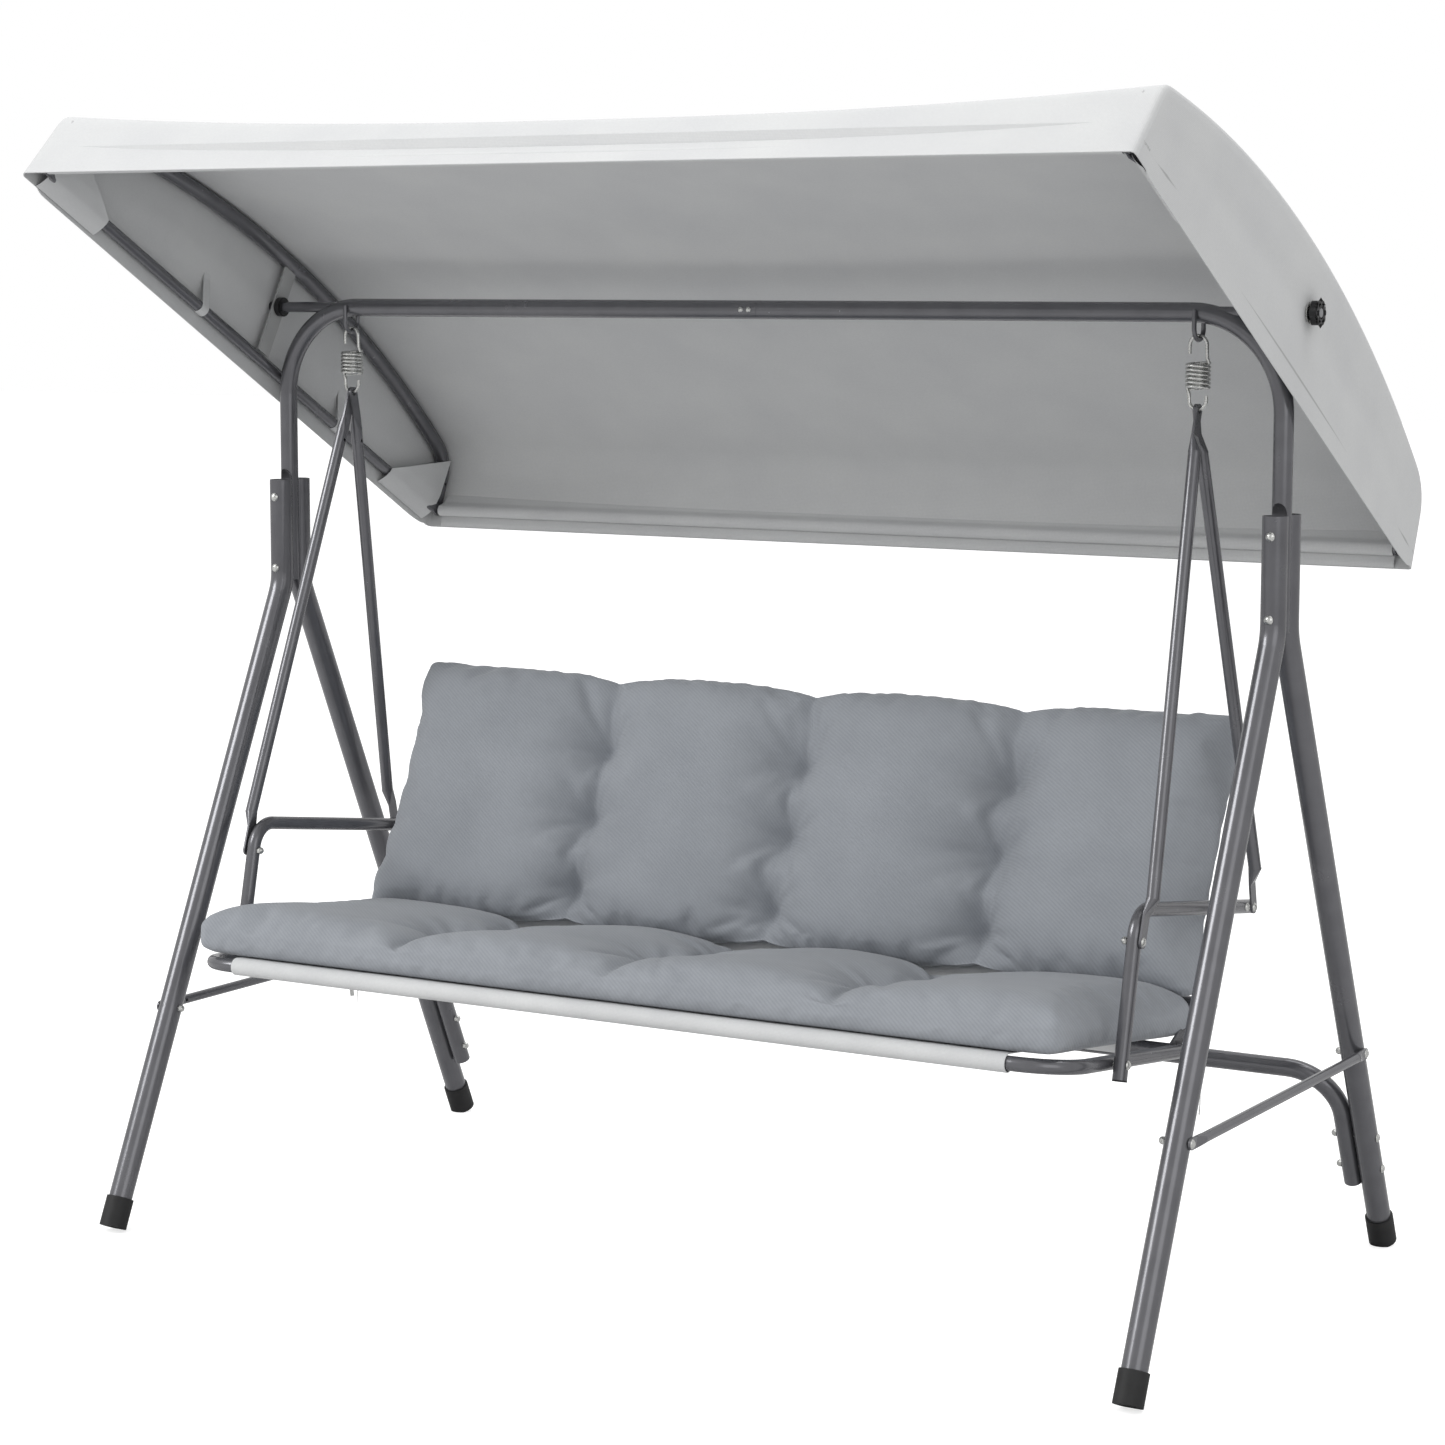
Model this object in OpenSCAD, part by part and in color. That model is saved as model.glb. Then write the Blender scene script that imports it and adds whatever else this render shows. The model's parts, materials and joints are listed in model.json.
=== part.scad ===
// Three-seat canopy swing: two A-shaped leg pairs, a spliced top beam, a sprung bench with
// cushions, and a tilting fabric canopy. Millimetres, +Z up, +X to the sitter's left hand,
// -Y is the front. Origin: on the ground, below the middle of the whole swing, canopy included.

/* [Stand] */
// Distance between the two leg planes, tube centre to tube centre
leg_span = 1660; // [1380:10:2000]
// Front to back distance between the leg axes at the ground
foot_spread = 920; // [760:10:1110]
// Height of the top beam's axis
beam_height = 1375; // [1250:5:1650]
// Height of the open top ends of the legs
leg_top = 1107; // [1060:1:1140]
// Height at which the legs bend outwards
leg_bend_height = 945; // [900:1:960]
// Outside diameter of the leg tubes
leg_d = 35; // [29:1:42]
// Front to back distance between leg axes where they clamp the beam
leg_pair_gap = 45; // [44:1:54]
// Outside diameter of the beam tube
beam_d = 27; // [23:1:32]
// Centreline radius of the beam's corner bends
beam_bend = 135; // [100:5:160]
// Wall of all steel tubes
wall = 1.2; // [0.8:0.1:1.6]
// Height of the two side braces
brace_height = 317; // [250:1:400]
// Outside diameter of the side braces
brace_d = 14; // [12:1:18]
// Outside diameter of the rear stretcher
stretcher_d = 27; // [22:1:32]
// Height of the rear stretcher's axis
stretcher_height = 279; // [230:1:320]
// Length of a rubber foot along the leg
foot_len = 45; // [36:1:54]
// Rubber thickness round a leg end
foot_wall = 3; // [2:0.5:4]

/* [Hanging] */
// Distance of the hanger loops inwards from the leg planes
loop_inset = 124; // [110:1:150]
// Diameter of the loop rod
loop_d = 6.5; // [5:0.5:8]
// Drop of the loop's lowest rod axis below the beam axis
loop_drop = 37; // [33:1:45]
// Wire diameter of the springs
wire_d = 5; // [4:0.5:6]
// Length of a spring between the centres of its hook wires
spring_len = 99; // [82:1:120]
// Mean diameter of the spring coil
coil_d = 30; // [26:1:36]
// Diameter of the hanger arm tubes
arm_d = 18; // [15:1:22]

/* [Bench] */
// Distance of the armrests inwards from the leg planes
armrest_inset = 101; // [95:1:125]
// Diameter of all bench tubes
bench_d = 20; // [17:1:24]
// Height of the seat's front tube axis
seat_height = 415; // [350:1:460]
// Distance of the seat's front tube axis ahead of the hooks
seat_front = 402; // [340:1:440]
// Backward tilt of the seat, degrees
seat_tilt = 7; // [4:1:10]
// Depth of the seat frame from its front tube axis to the back's axis
seat_depth = 447; // [380:1:530]
// Recline of the back from the vertical, degrees
back_recline = 25; // [15:1:30]
// Length of the back frame from the seat's axis to its top tube axis
back_len = 452; // [400:1:540]
// Distance of the armrest uprights behind the front tube, along the seat
upright_back = 135; // [110:1:160]
// Length of the armrest upright above the seat's side tube
upright_len = 204; // [180:1:245]
// Thickness of the seat cushion
seat_pad = 62; // [50:1:75]
// Thickness of the back cushion
back_pad = 60; // [50:1:72]

/* [Canopy] */
// Forward reach of the canopy's front rail from the tilt axis
canopy_front = 568; // [480:1:680]
// Rearward reach of the canopy's rear rail from the tilt axis
canopy_rear = 531; // [440:1:640]
// Distance of the canopy's rails and side bars below the tilt axis
canopy_drop = 91; // [76:1:109]
// Height of the side arches' crown above the tilt axis
canopy_crown = 76; // [64:1:91]
// Upward tilt of the canopy's front as stored, degrees
canopy_tilt = 29.5; // [15:0.5:30]
// Diameter of the arch tubes
arch_d = 24; // [20:1:28]
// Diameter of the canopy's side bars
side_bar_d = 18; // [15:1:21]
// Diameter of the canopy's front and rear rails
rail_d = 16; // [13:1:19]
// Thickness of the canopy fabric
fabric = 1.5; // [1:0.1:2]
// Depth of the fabric hem below the rails' axes
hem_drop = 25; // [20:1:30]

/* [Fasteners] */
// Bolt shank diameter
bolt_d = 6; // [5:0.5:7]
// Diameter of the domed bolt heads and nuts
head_d = 13; // [11:0.5:14]
// Diameter of the star knobs
knob_d = 36; // [32:1:44]

/* [Hidden] */
$fn = 40;

STEEL = "#555558";
ZINC = "#c8c8c6";
RUBBER = "#1c1c1d";
SLING = "#dcdcdc";
CUSHION = "#8f949b";
COVER = "#d9dadb";
eps = 0.01;
fit = 0.3;                       // gap between pieces that are bolted together
seat_gap = 0.1;                  // gap of a piece pushed on or into another
run = 0.05;                      // radial clearance of a turning fit
joint_lap = 1;                   // how far a straight length runs into the next bend
bend_swell = 0.05;               // a bend is this much fatter, so that the two fuse cleanly
hole_r = bolt_d / 2 + fit;
head_h = 3.6;
plate = 3;                       // flattened tube ends and brackets
depth_shift = 45.5;              // from the origin back to the middle between the feet

// ---- stand
leg_x = leg_span / 2;
leg_r = leg_d / 2;
beam_r = beam_d / 2;
lean = atan((foot_spread - leg_pair_gap) / 2 / leg_bend_height);
foot_r = leg_r + foot_wall;
foot_flat = 2;                   // depth of the flat worn on each foot's lowest edge
foot_start = (foot_r * sin(lean) - foot_flat) / cos(lean);
foot_floor = 5;
leg_bend = 80;
joint_bolt_z = [leg_top - 27, leg_bend_height + 24];
joint_end = leg_bend_height + 4;
groove_top = leg_top + 1;
press_top = groove_top + leg_r + fit + 4;
function on_leg(s) = [-foot_spread / 2 + s * sin(lean), s * cos(lean)];
brace_s = brace_height / cos(lean);
stretcher_r = stretcher_d / 2;
stretcher_x = leg_x - leg_r - fit - stretcher_r;
stretcher_s = stretcher_height / cos(lean);
stretcher_end = 112;             // along the leg, from the ground
stretcher_bolt_s = [stretcher_end + 30, stretcher_end + 86];
stretcher_bend = 75;
splice = 46;                     // overlap of the two halves of a spliced tube
splice_x = 24;                   // the beam's splice ends this far right of the middle

// ---- canopy tilt axis
tilt_z = beam_height;
stub_r = 8;
stub_end = leg_x + 5;
coupler_len = 11;
coupler_end = stub_end + fit + coupler_len;
strut_x = coupler_end + fit;
knob_stud_r = 4;
bar_x = leg_x + beam_r + 0.7 + side_bar_d / 2;
bar_out = bar_x + side_bar_d / 2;
arch_x = bar_out - arch_d / 2;
cover_x = bar_out + fit;
cover_out = cover_x + fabric;

// ---- hanging
hook_x = leg_x - loop_inset;
wire_r = wire_d / 2;
loop_r = loop_d / 2;
loop_z = beam_height - loop_drop;
swing_z = loop_z + loop_r + wire_r + run + 2 * bend_swell;
hook_low = swing_z - spring_len;
hook_half = coil_d / 2 - 2.5;
coil_top = swing_z - 36;
coil_low = hook_low + 27;
arm_r = arm_d / 2;
arm_hole_r = 4.5;
arm_hole_z = hook_low - arm_hole_r + wire_r + 0.65;
arm_end = 9;                     // radius of an arm's flattened end
arm_flat = 35;                   // flat length from hole to the shoulder
arm_shoulder = 58;               // from hole to the round tube

// ---- bench
bench_r = bench_d / 2;
armrest_x = leg_x - armrest_inset;
side_x = armrest_x - bench_d - fit;
arm_low_x = armrest_x + bench_r + fit + plate / 2;
seat_dir = [cos(seat_tilt), -sin(seat_tilt)];
seat_up = [sin(seat_tilt), cos(seat_tilt)];
back_dir = [sin(back_recline), cos(back_recline)];
back_fwd = [-cos(back_recline), sin(back_recline)];
seat_origin = [-seat_front, seat_height];
function on_seat(d) = seat_origin + d * seat_dir;
heel = on_seat(seat_depth);      // where the seat's and back's axes meet
function on_back(s) = heel + s * back_dir;
upright_lean = 12.5;
armrest_tilt = 8;
upright_dir = [sin(upright_lean), cos(upright_lean)];
armrest_dir = [cos(armrest_tilt), -sin(armrest_tilt)];
upright_foot = on_seat(upright_back);
armrest_corner = upright_foot + upright_len * upright_dir;
armrest_bend = 40;
// Distance along the armrest from its corner to the back tube's axis
function cross2(a, b) = a[0] * b[1] - a[1] * b[0];
armrest_run = cross2(heel - armrest_corner, back_dir) / cross2(armrest_dir, back_dir);
front_arm_low = armrest_corner - 42 * upright_dir;
back_bolt = armrest_corner + armrest_run * armrest_dir;
rear_arm_low = armrest_corner + (armrest_run + 19) * armrest_dir;
armrest_end = armrest_corner + (armrest_run + 34) * armrest_dir;
upright_end = upright_foot - 20 * upright_dir;
bench_bend = 70;
seat_tube_end = seat_depth - 17;
back_tube_start = 26;
seat_rail_d = 375;               // rear rail, along the seat from the front tube
back_rail_s = 62;                // lower rail, along the back from the heel
rail_end_x = side_x - bench_r - fit - plate - fit;
cloth = 1.2;
sling_half = side_x - bench_bend - 8;
pad_half = side_x - 15;           // just inside the corner brackets
pad_round = 22;

// ---- general shapes ------------------------------------------------------------------

function unit(v) = v / norm(v);
function angle2(v) = atan2(v[1], v[0]);
function turn(a, b, c) = let (t = angle2(c - b) - angle2(b - a)) t > 180 ? t - 360 : t < -180 ? t + 360 : t;
function tangent_len(p, bends, i) =
    (i == 0 || i == len(p) - 1) ? 0 : bends[i - 1] * tan(abs(turn(p[i - 1], p[i], p[i + 1])) / 2);

// A round bar between two points
module rod(a, b, r) {
    d = b - a;
    translate(a) rotate([0, acos(d[2] / norm(d)), atan2(d[1], d[0])]) cylinder(h = norm(d), r = r);
}

// A round bar along a flat path in the XY plane, with a bend radius for each inner point
module bent_rod(p, bends, r) {
    for (i = [0 : len(p) - 2]) {
        u = unit(p[i + 1] - p[i]);
        a = p[i] + u * (tangent_len(p, bends, i) - (i == 0 ? 0 : joint_lap));
        b = p[i + 1] - u * (tangent_len(p, bends, i + 1) - (i == len(p) - 2 ? 0 : joint_lap));
        rod([a[0], a[1], 0], [b[0], b[1], 0], r);
    }
    for (i = [1 : 1 : len(p) - 2]) {
        t = turn(p[i - 1], p[i], p[i + 1]);
        u = unit(p[i] - p[i - 1]);
        a = p[i] - u * tangent_len(p, bends, i);
        side = t > 0 ? 1 : -1;
        c = a + side * bends[i - 1] * [-u[1], u[0]];
        from = t > 0 ? angle2(a - c) : angle2(a - c) + t;
        translate([c[0], c[1], 0]) rotate([0, 0, from]) rotate_extrude(angle = abs(t))
            translate([bends[i - 1], 0]) circle(r + bend_swell);
    }
}

// The same path with its two ends made longer
function lengthen(p, d) = [for (i = [0 : len(p) - 1])
    i == 0 ? p[0] - d * unit(p[1] - p[0]) :
    i == len(p) - 1 ? p[i] + d * unit(p[i] - p[i - 1]) : p[i]];

// A tube along a flat path, open at both ends
module bent_tube(p, bends, r) {
    difference() {
        bent_rod(p, bends, r);
        bent_rod(lengthen(p, 1), bends, r - wall);
    }
}

// Narrowed end of a spliced tube of radius r, from its start at the origin towards -X
module swaged_neck(neck, r) {
    inner = r - 2 * wall - seat_gap;
    rotate([0, 90, 0]) difference() {
        union() {
            translate([0, 0, -neck]) cylinder(h = neck + 1, r = r - wall - seat_gap);
            cylinder(h = 4, r = r - wall / 2);
        }
        translate([0, 0, -neck - 1]) cylinder(h = neck + 6, r = inner);
    }
}

module in_yz(x) { translate([x, 0, 0]) rotate([90, 0, 90]) children(); }
module in_xz(y) { translate([0, y, 0]) rotate([90, 0, 0]) children(); }
module along_x(x, yz, r, h) { translate([x, yz[0], yz[1]]) rotate([0, 90, 0]) cylinder(h = h, r = r); }
module along_y(x, y, z, r, h) { translate([x, y, z]) rotate([-90, 0, 0]) cylinder(h = h, r = r); }
module on_side(side) { if (side > 0) children(); else mirror([1, 0, 0]) children(); }

// Domed head of radius r and height h standing on the plane z = 0
module dome(r, h) {
    ball = (r * r + h * h) / (2 * h);
    intersection() {
        translate([0, 0, h - ball]) sphere(ball, $fn = 48);
        cylinder(h = h, r = r);
    }
}

// A bolt along +Z with its head's seat at z = 0 and its shank reaching z = len
module bolt(len) {
    rotate([180, 0, 0]) dome(head_d / 2, head_h);
    cylinder(h = len, r = bolt_d / 2);
}

// A cap nut that stands on z = 0 and takes a shank which ends inside it
nut_grip = 5.5;
module cap_nut() {
    difference() {
        union() {
            cylinder(h = 4.5, r = head_d / 2 - 1, $fn = 6);
            translate([0, 0, 3]) intersection() {
                sphere(head_d / 2 - 1.2);
                cylinder(h = head_d, r = head_d / 2);
            }
        }
        translate([0, 0, -eps]) cylinder(h = nut_grip + 0.5, r = bolt_d / 2 + run);
    }
}

vent_r = 2.5;                    // drain hole of a tube closed at both ends
flush = 0.05;                    // keeps flat faces just inside the curved ones beside them
lap = 0.4;                       // how far one shape runs into the next
// A flattened, holed tube end in the YZ plane: hole at the origin, running to z = -flat
module flat_end(r, flat, hole) {
    in_yz(-plate / 2) linear_extrude(plate) difference() {
        union() {
            circle(r);
            translate([flush - r, -flat - lap]) square([2 * (r - flush), flat + lap]);
        }
        circle(hole);
    }
}
// The crushed length between a flat end and a round tube of radius tube_r whose axis is at x = dx,
// from z = -flat to z = -shoulder
module crushed(r, flat, shoulder, tube_r, dx) {
    hull() {
        translate([-plate / 2 - lap / 20, -r, -flat - 2 * lap]) cube([plate + lap / 10, 2 * r, 2 * lap]);
        translate([dx, 0, -shoulder - 1]) cylinder(h = 1, r = tube_r + 0.3, $fn = 32);
    }
}

// A straight tube with both ends flattened, its second hole at x = dx, z = -length; the tube's
// axis stands aside of the second flat by a distance of set
module flattened_tube(r, end_r, flat, shoulder, hole, dx, length, set = 0) {
    k = (dx + set) * shoulder / length;
    near = [k, 0, -shoulder];
    far = [dx + set - k, 0, shoulder - length];
    difference() {
        rod(near, far, r);
        rod(near + [0, 0, -8], far + [0, 0, 8], r - wall);
        translate(near + [-r - 1, 0, -18]) rotate([0, 90, 0]) cylinder(h = r, r = vent_r);
    }
    flat_end(end_r, flat, hole);
    translate([dx, 0, -length]) mirror([0, 0, 1]) flat_end(end_r, flat, hole);
    for (end = [0, 1])
        translate([end * dx, 0, -end * length]) mirror([0, 0, end])
            crushed(end_r, flat, shoulder, r, end == 0 ? k : set - k);
}

// ---- stand ---------------------------------------------------------------------------

module leg(rear) {
    path = [on_leg(foot_start + foot_floor), [-leg_pair_gap / 2, leg_bend_height], [-leg_pair_gap / 2, leg_top]];
    difference() {
        in_yz(leg_x) bent_tube(path, [leg_bend], leg_r);
        for (z = joint_bolt_z) along_y(leg_x, -leg_pair_gap / 2 - leg_d, z, hole_r, 2 * leg_d);
        along_x(leg_x - leg_d, on_leg(brace_s), hole_r, 2 * leg_d);
        if (rear)
            for (s = stretcher_bolt_s) along_x(leg_x - leg_d, on_leg(s), hole_r, 2 * leg_d);
    }
}
module front_leg(side) { color(STEEL) on_side(side) leg(false); }
module rear_leg(side) { color(STEEL) on_side(side) mirror([0, 1, 0]) leg(true); }

module rubber_foot() {
    start = on_leg(foot_start);
    intersection() {
        translate([leg_x, start[0], start[1]]) rotate([-lean, 0, 0]) difference() {
            cylinder(h = foot_len, r = foot_r);
            translate([0, 0, foot_floor]) cylinder(h = foot_len, r = leg_r + seat_gap);
        }
        translate([0, -foot_spread, 0]) cube([leg_span, 2 * foot_spread, 4 * foot_len]);
    }
}
module rubber_feet() {
    color(RUBBER) for (side = [-1, 1], end = [0, 1]) on_side(side) mirror([0, end, 0]) rubber_foot();
}

module beam_end() {
    difference() {
        translate([leg_x, 0, joint_end]) cylinder(h = press_top - joint_end, r = beam_r);
        for (y = [-1, 1]) translate([leg_x, y * leg_pair_gap / 2, 0]) {
            translate([0, 0, joint_end - 1]) cylinder(h = groove_top - joint_end + 1, r = leg_r + fit);
            translate([0, 0, groove_top]) sphere(leg_r + fit, $fn = 48);
        }
        for (z = joint_bolt_z) along_y(leg_x, -beam_d, z, hole_r, 2 * beam_d);
    }
}
module hanger_loop() {
    y = beam_r + loop_r - 0.8;
    in_yz(hook_x) bent_rod([[-y, beam_height + 3], [-y, loop_z], [y, loop_z], [y, beam_height + 3]],
        [y - eps, y - eps], loop_r);
}
module stub() {
    translate([leg_x - beam_bend + 38, 0, tilt_z]) rotate([0, 90, 0]) difference() {
        cylinder(h = stub_end - leg_x + beam_bend - 38, r = stub_r);
        translate([0, 0, stub_end - leg_x + beam_bend - 38 - 24]) cylinder(h = 30, r = knob_stud_r + run);
    }
}
// x0 is where the half begins; neck is the length of a narrowed end, or 0
module beam_half(x0, neck) {
    path = [[x0, beam_height], [leg_x, beam_height], [leg_x, press_top - eps]];
    difference() {
        union() {
            in_xz(0) bent_tube(path, [beam_bend], beam_r);
            beam_end();
            hanger_loop();
            stub();
            if (neck > 0) translate([x0, 0, beam_height]) swaged_neck(neck, beam_r);
        }
        splice_holes(x0, neck, beam_height, 0, beam_r);
    }
}
// Screw holes of a spliced tube that lies along X
module splice_holes(x0, neck, z, y, r) {
    for (d = [12, 25]) {
        x = neck > 0 ? x0 - fit - d : x0 + d;
        along_y(x, y - 2 * r, z, 2 + fit / 2, 2 * r);
    }
}
module beam_right() { color(STEEL) beam_half(splice_x + fit, splice); }
module beam_left() { color(STEEL) mirror([1, 0, 0]) beam_half(-splice_x, 0); }

module in_leg_plane() {
    translate([0, foot_spread / 2, 0]) rotate([90 + lean, 0, 0]) children();
}
module stretcher_half(x0, neck) {
    path = [[x0, stretcher_s], [stretcher_x, stretcher_s], [stretcher_x, stretcher_end]];
    in_leg_plane() difference() {
        union() {
            bent_tube(path, [stretcher_bend], stretcher_r);
            if (neck > 0) translate([x0, stretcher_s, 0]) swaged_neck(neck, stretcher_r);
        }
        for (s = stretcher_bolt_s)
            translate([stretcher_x - 2 * stretcher_r, s, 0]) rotate([0, 90, 0]) cylinder(h = 4 * stretcher_r, r = hole_r);
        for (d = [12, 25])
            translate([neck > 0 ? x0 - fit - d : x0 + d, stretcher_s, 0]) cylinder(h = 2 * stretcher_r, r = 2 + fit / 2);
    }
}
module stretcher_right() { color(STEEL) stretcher_half(splice_x + fit, splice); }
module stretcher_left() { color(STEEL) mirror([1, 0, 0]) stretcher_half(-splice_x, 0); }

brace_x = leg_x + leg_r + fit + plate / 2;
module brace(side) {
    reach = 2 * -on_leg(brace_s)[0];
    color(STEEL) on_side(side) translate([brace_x, -reach / 2, brace_height]) rotate([90, 0, 0])
        flattened_tube(brace_d / 2, 8, 14, 36, hole_r, 0, reach);
}

module leg_bolts() {
    color(ZINC) for (side = [-1, 1], z = joint_bolt_z)
        translate([side * leg_x, -leg_pair_gap / 2 - leg_r, z]) rotate([-90, 0, 0])
            bolt(leg_pair_gap + leg_d + nut_grip);
}
module brace_bolts() {
    color(ZINC) for (side = [-1, 1], end = [-1, 1])
        translate([side * (brace_x + plate / 2), end * on_leg(brace_s)[0], brace_height])
            rotate([0, -side * 90, 0]) bolt(plate + fit + leg_d + nut_grip);
}
module stretcher_bolts() {
    color(ZINC) for (side = [-1, 1], s = stretcher_bolt_s)
        translate([side * (leg_x + leg_r), -on_leg(s)[0], on_leg(s)[1]])
            rotate([0, -side * 90, 0]) bolt(leg_d + fit + stretcher_d + nut_grip);
}
module stand_nuts() {
    color(ZINC) {
        for (side = [-1, 1], z = joint_bolt_z)
            translate([side * leg_x, leg_pair_gap / 2 + leg_r, z]) rotate([-90, 0, 0]) cap_nut();
        for (side = [-1, 1], end = [-1, 1])
            translate([side * (leg_x - leg_r), end * on_leg(brace_s)[0], brace_height])
                rotate([0, -side * 90, 0]) cap_nut();
        for (side = [-1, 1], s = stretcher_bolt_s)
            translate([side * (stretcher_x - stretcher_r), -on_leg(s)[0], on_leg(s)[1]])
                rotate([0, -side * 90, 0]) cap_nut();
    }
}
// Short domed screw with a head of height h, its seat at z = 0
module screw(h) { rotate([180, 0, 0]) dome(4, h); cylinder(h = 5, r = 2); }
module stand_screws() {
    color(ZINC) for (d = [12, 25]) {
        translate([splice_x - d, -beam_r - 0.02, beam_height]) rotate([-90, 0, 0]) screw(2.2);
        in_leg_plane() translate([splice_x - d, stretcher_s, stretcher_r + 0.02]) rotate([180, 0, 0]) screw(2.2);
    }
}

module coupler(side) {
    color(RUBBER) on_side(side) translate([stub_end + fit, 0, tilt_z]) rotate([0, 90, 0]) difference() {
        union() {
            cylinder(h = coupler_len, r = 12);
            translate([0, 0, 1.5]) cylinder(h = coupler_len - 3, r = 15);
        }
        translate([0, 0, -1]) cylinder(h = coupler_len + 2, r = knob_stud_r + run);
    }
}

// ---- springs -------------------------------------------------------------------------

turns = 6.5;
coil_steps = 14;                 // rings per turn
coil_sides = 8;
function coil_ring(i, n) = let (a = 360 * turns * i / n, z = coil_top - (coil_top - coil_low) * i / n)
    [for (k = [0 : coil_sides - 1]) let (q = 360 * k / coil_sides, r = coil_d / 2 + wire_r * cos(q))
        [r * cos(a), r * sin(a), z + wire_r * sin(q)]];
module coil() {
    n = round(turns * coil_steps);
    m = coil_sides;
    points = [for (i = [0 : n]) each coil_ring(i, n)];
    sides = [for (i = [0 : n - 1], k = [0 : m - 1]) let (j = (k + 1) % m)
        each [[i * m + k, i * m + j, (i + 1) * m + j], [i * m + k, (i + 1) * m + j, (i + 1) * m + k]]];
    start = [for (k = [m - 1 : -1 : 0]) k];
    end = [for (k = [0 : m - 1]) n * m + k];
    polyhedron(points, concat([start], sides, [end]), convexity = 8);
}
module spring(side) {
    h = hook_half;
    color(ZINC) translate([side * hook_x, 0, 0]) {
        coil();
        in_xz(0) {
            bent_rod([[-h, swing_z - h - 9], [-h, swing_z], [h, swing_z], [h, coil_top - 0.6]],
                [h - eps, h - eps], wire_r);
            bent_rod([[h, hook_low + h + 5], [h, hook_low], [-h, hook_low], [-h, coil_low + 0.6]],
                [h - eps, h - eps], wire_r);
        }
    }
}

// ---- bench ---------------------------------------------------------------------------

module arm(side, x_top, low) {
    dy = low[0];
    dz = low[1] - arm_hole_z;
    color(STEEL) on_side(side) translate([x_top, 0, arm_hole_z]) rotate([atan2(dy, -dz), 0, 0])
        flattened_tube(arm_r, arm_end, arm_flat, arm_shoulder, arm_hole_r, arm_low_x - x_top,
            norm([dy, dz]), arm_r - plate / 2 + 2);
}
arm_gap = plate / 2 + fit / 2;
module front_arm(side) { arm(side, hook_x + arm_gap, front_arm_low); }
module rear_arm(side) { arm(side, hook_x - arm_gap, rear_arm_low); }

module armrest(side) {
    color(STEEL) on_side(side) difference() {
        in_yz(armrest_x) bent_tube([upright_end, armrest_corner, armrest_end], [armrest_bend], bench_r);
        for (p = [front_arm_low, rear_arm_low, upright_foot, back_bolt])
            along_x(armrest_x - bench_d, p, hole_r, 2 * bench_d);
    }
}

plug_len = 9;
// Ribbed plug pushed into a tube end; its rim stands at z = 0 and its body runs to -Z
module plug() {
    cylinder(h = 2.5, r = bench_r);
    translate([0, 0, -plug_len]) cylinder(h = plug_len + eps, r = bench_r - wall - seat_gap);
}
module plug_at(x, p, dir) {
    translate([x, p[0], p[1]]) rotate([-atan2(dir[0], dir[1]), 0, 0]) plug();
}
module tube_plugs() {
    color(RUBBER) for (side = [-1, 1]) on_side(side) {
        plug_at(armrest_x, upright_end, -upright_dir);
        plug_at(armrest_x, armrest_end, armrest_dir);
        plug_at(side_x, on_seat(seat_tube_end), seat_dir);
        plug_at(side_x, on_back(back_tube_start), -back_dir);
    }
}

// Half of a spliced U-shaped tube in the XY plane: across at y = 0, then along y to y = reach
module u_half(x0, neck, reach) {
    difference() {
        union() {
            bent_tube([[x0, 0], [side_x, 0], [side_x, reach]], [bench_bend], bench_r);
            if (neck > 0) translate([x0, 0, 0]) swaged_neck(neck, bench_r);
        }
        for (d = [12, 25])
            translate([neck > 0 ? x0 - fit - d : x0 + d, 0, -2 * bench_r]) cylinder(h = 2 * bench_r, r = 2 + fit / 2);
    }
}
module in_seat_plane() { translate([0, seat_origin[0], seat_origin[1]]) rotate([-seat_tilt, 0, 0]) children(); }
module in_back_plane() {
    top = on_back(back_len);
    translate([0, top[0], top[1]]) rotate([-90 - back_recline, 0, 0]) children();
}
module side_holes(points) { for (p = points) along_x(side_x - bench_d, p, hole_r, 2 * bench_d); }
module seat_frame(side) {
    color(STEEL) on_side(side) difference() {
        in_seat_plane() u_half(side > 0 ? fit : 0, side > 0 ? splice : 0, seat_tube_end);
        side_holes([upright_foot, on_seat(seat_rail_d)]);
    }
}
module back_frame(side) {
    color(STEEL) on_side(side) difference() {
        in_back_plane() u_half(side > 0 ? fit : 0, side > 0 ? splice : 0, back_len - back_tube_start);
        side_holes([back_bolt, on_back(back_rail_s)]);
    }
}
// Cross rail between the two corner brackets, with a threaded insert in each end
module cross_rail(p) {
    color(STEEL) difference() {
        along_x(-rail_end_x, p, rail_r, 2 * rail_end_x);
        along_x(-rail_end_x + 30, p, rail_r - wall, 2 * rail_end_x - 60);
        for (x = [-rail_end_x - 1, rail_end_x - 19]) along_x(x, p, bolt_d / 2 + run, 20);
    }
}
rail_r = 9.5;
module seat_rear_rail() { cross_rail(on_seat(seat_rail_d)); }
module back_lower_rail() { cross_rail(on_back(back_rail_s)); }

module corner_bracket(side) {
    a = on_seat(seat_rail_d);
    b = on_back(back_rail_s);
    x = side_x - bench_r - fit - plate;
    r = 11;
    color(STEEL) on_side(side) in_yz(x) linear_extrude(plate) difference() {
        union() {
            for (p = [a, b]) translate(p) circle(r);
            translate(a) rotate(angle2(b - a)) translate([0, flush - r]) square([norm(b - a), 2 * (r - flush)]);
        }
        for (p = [a, b]) translate(p) circle(hole_r);
    }
}

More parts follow.
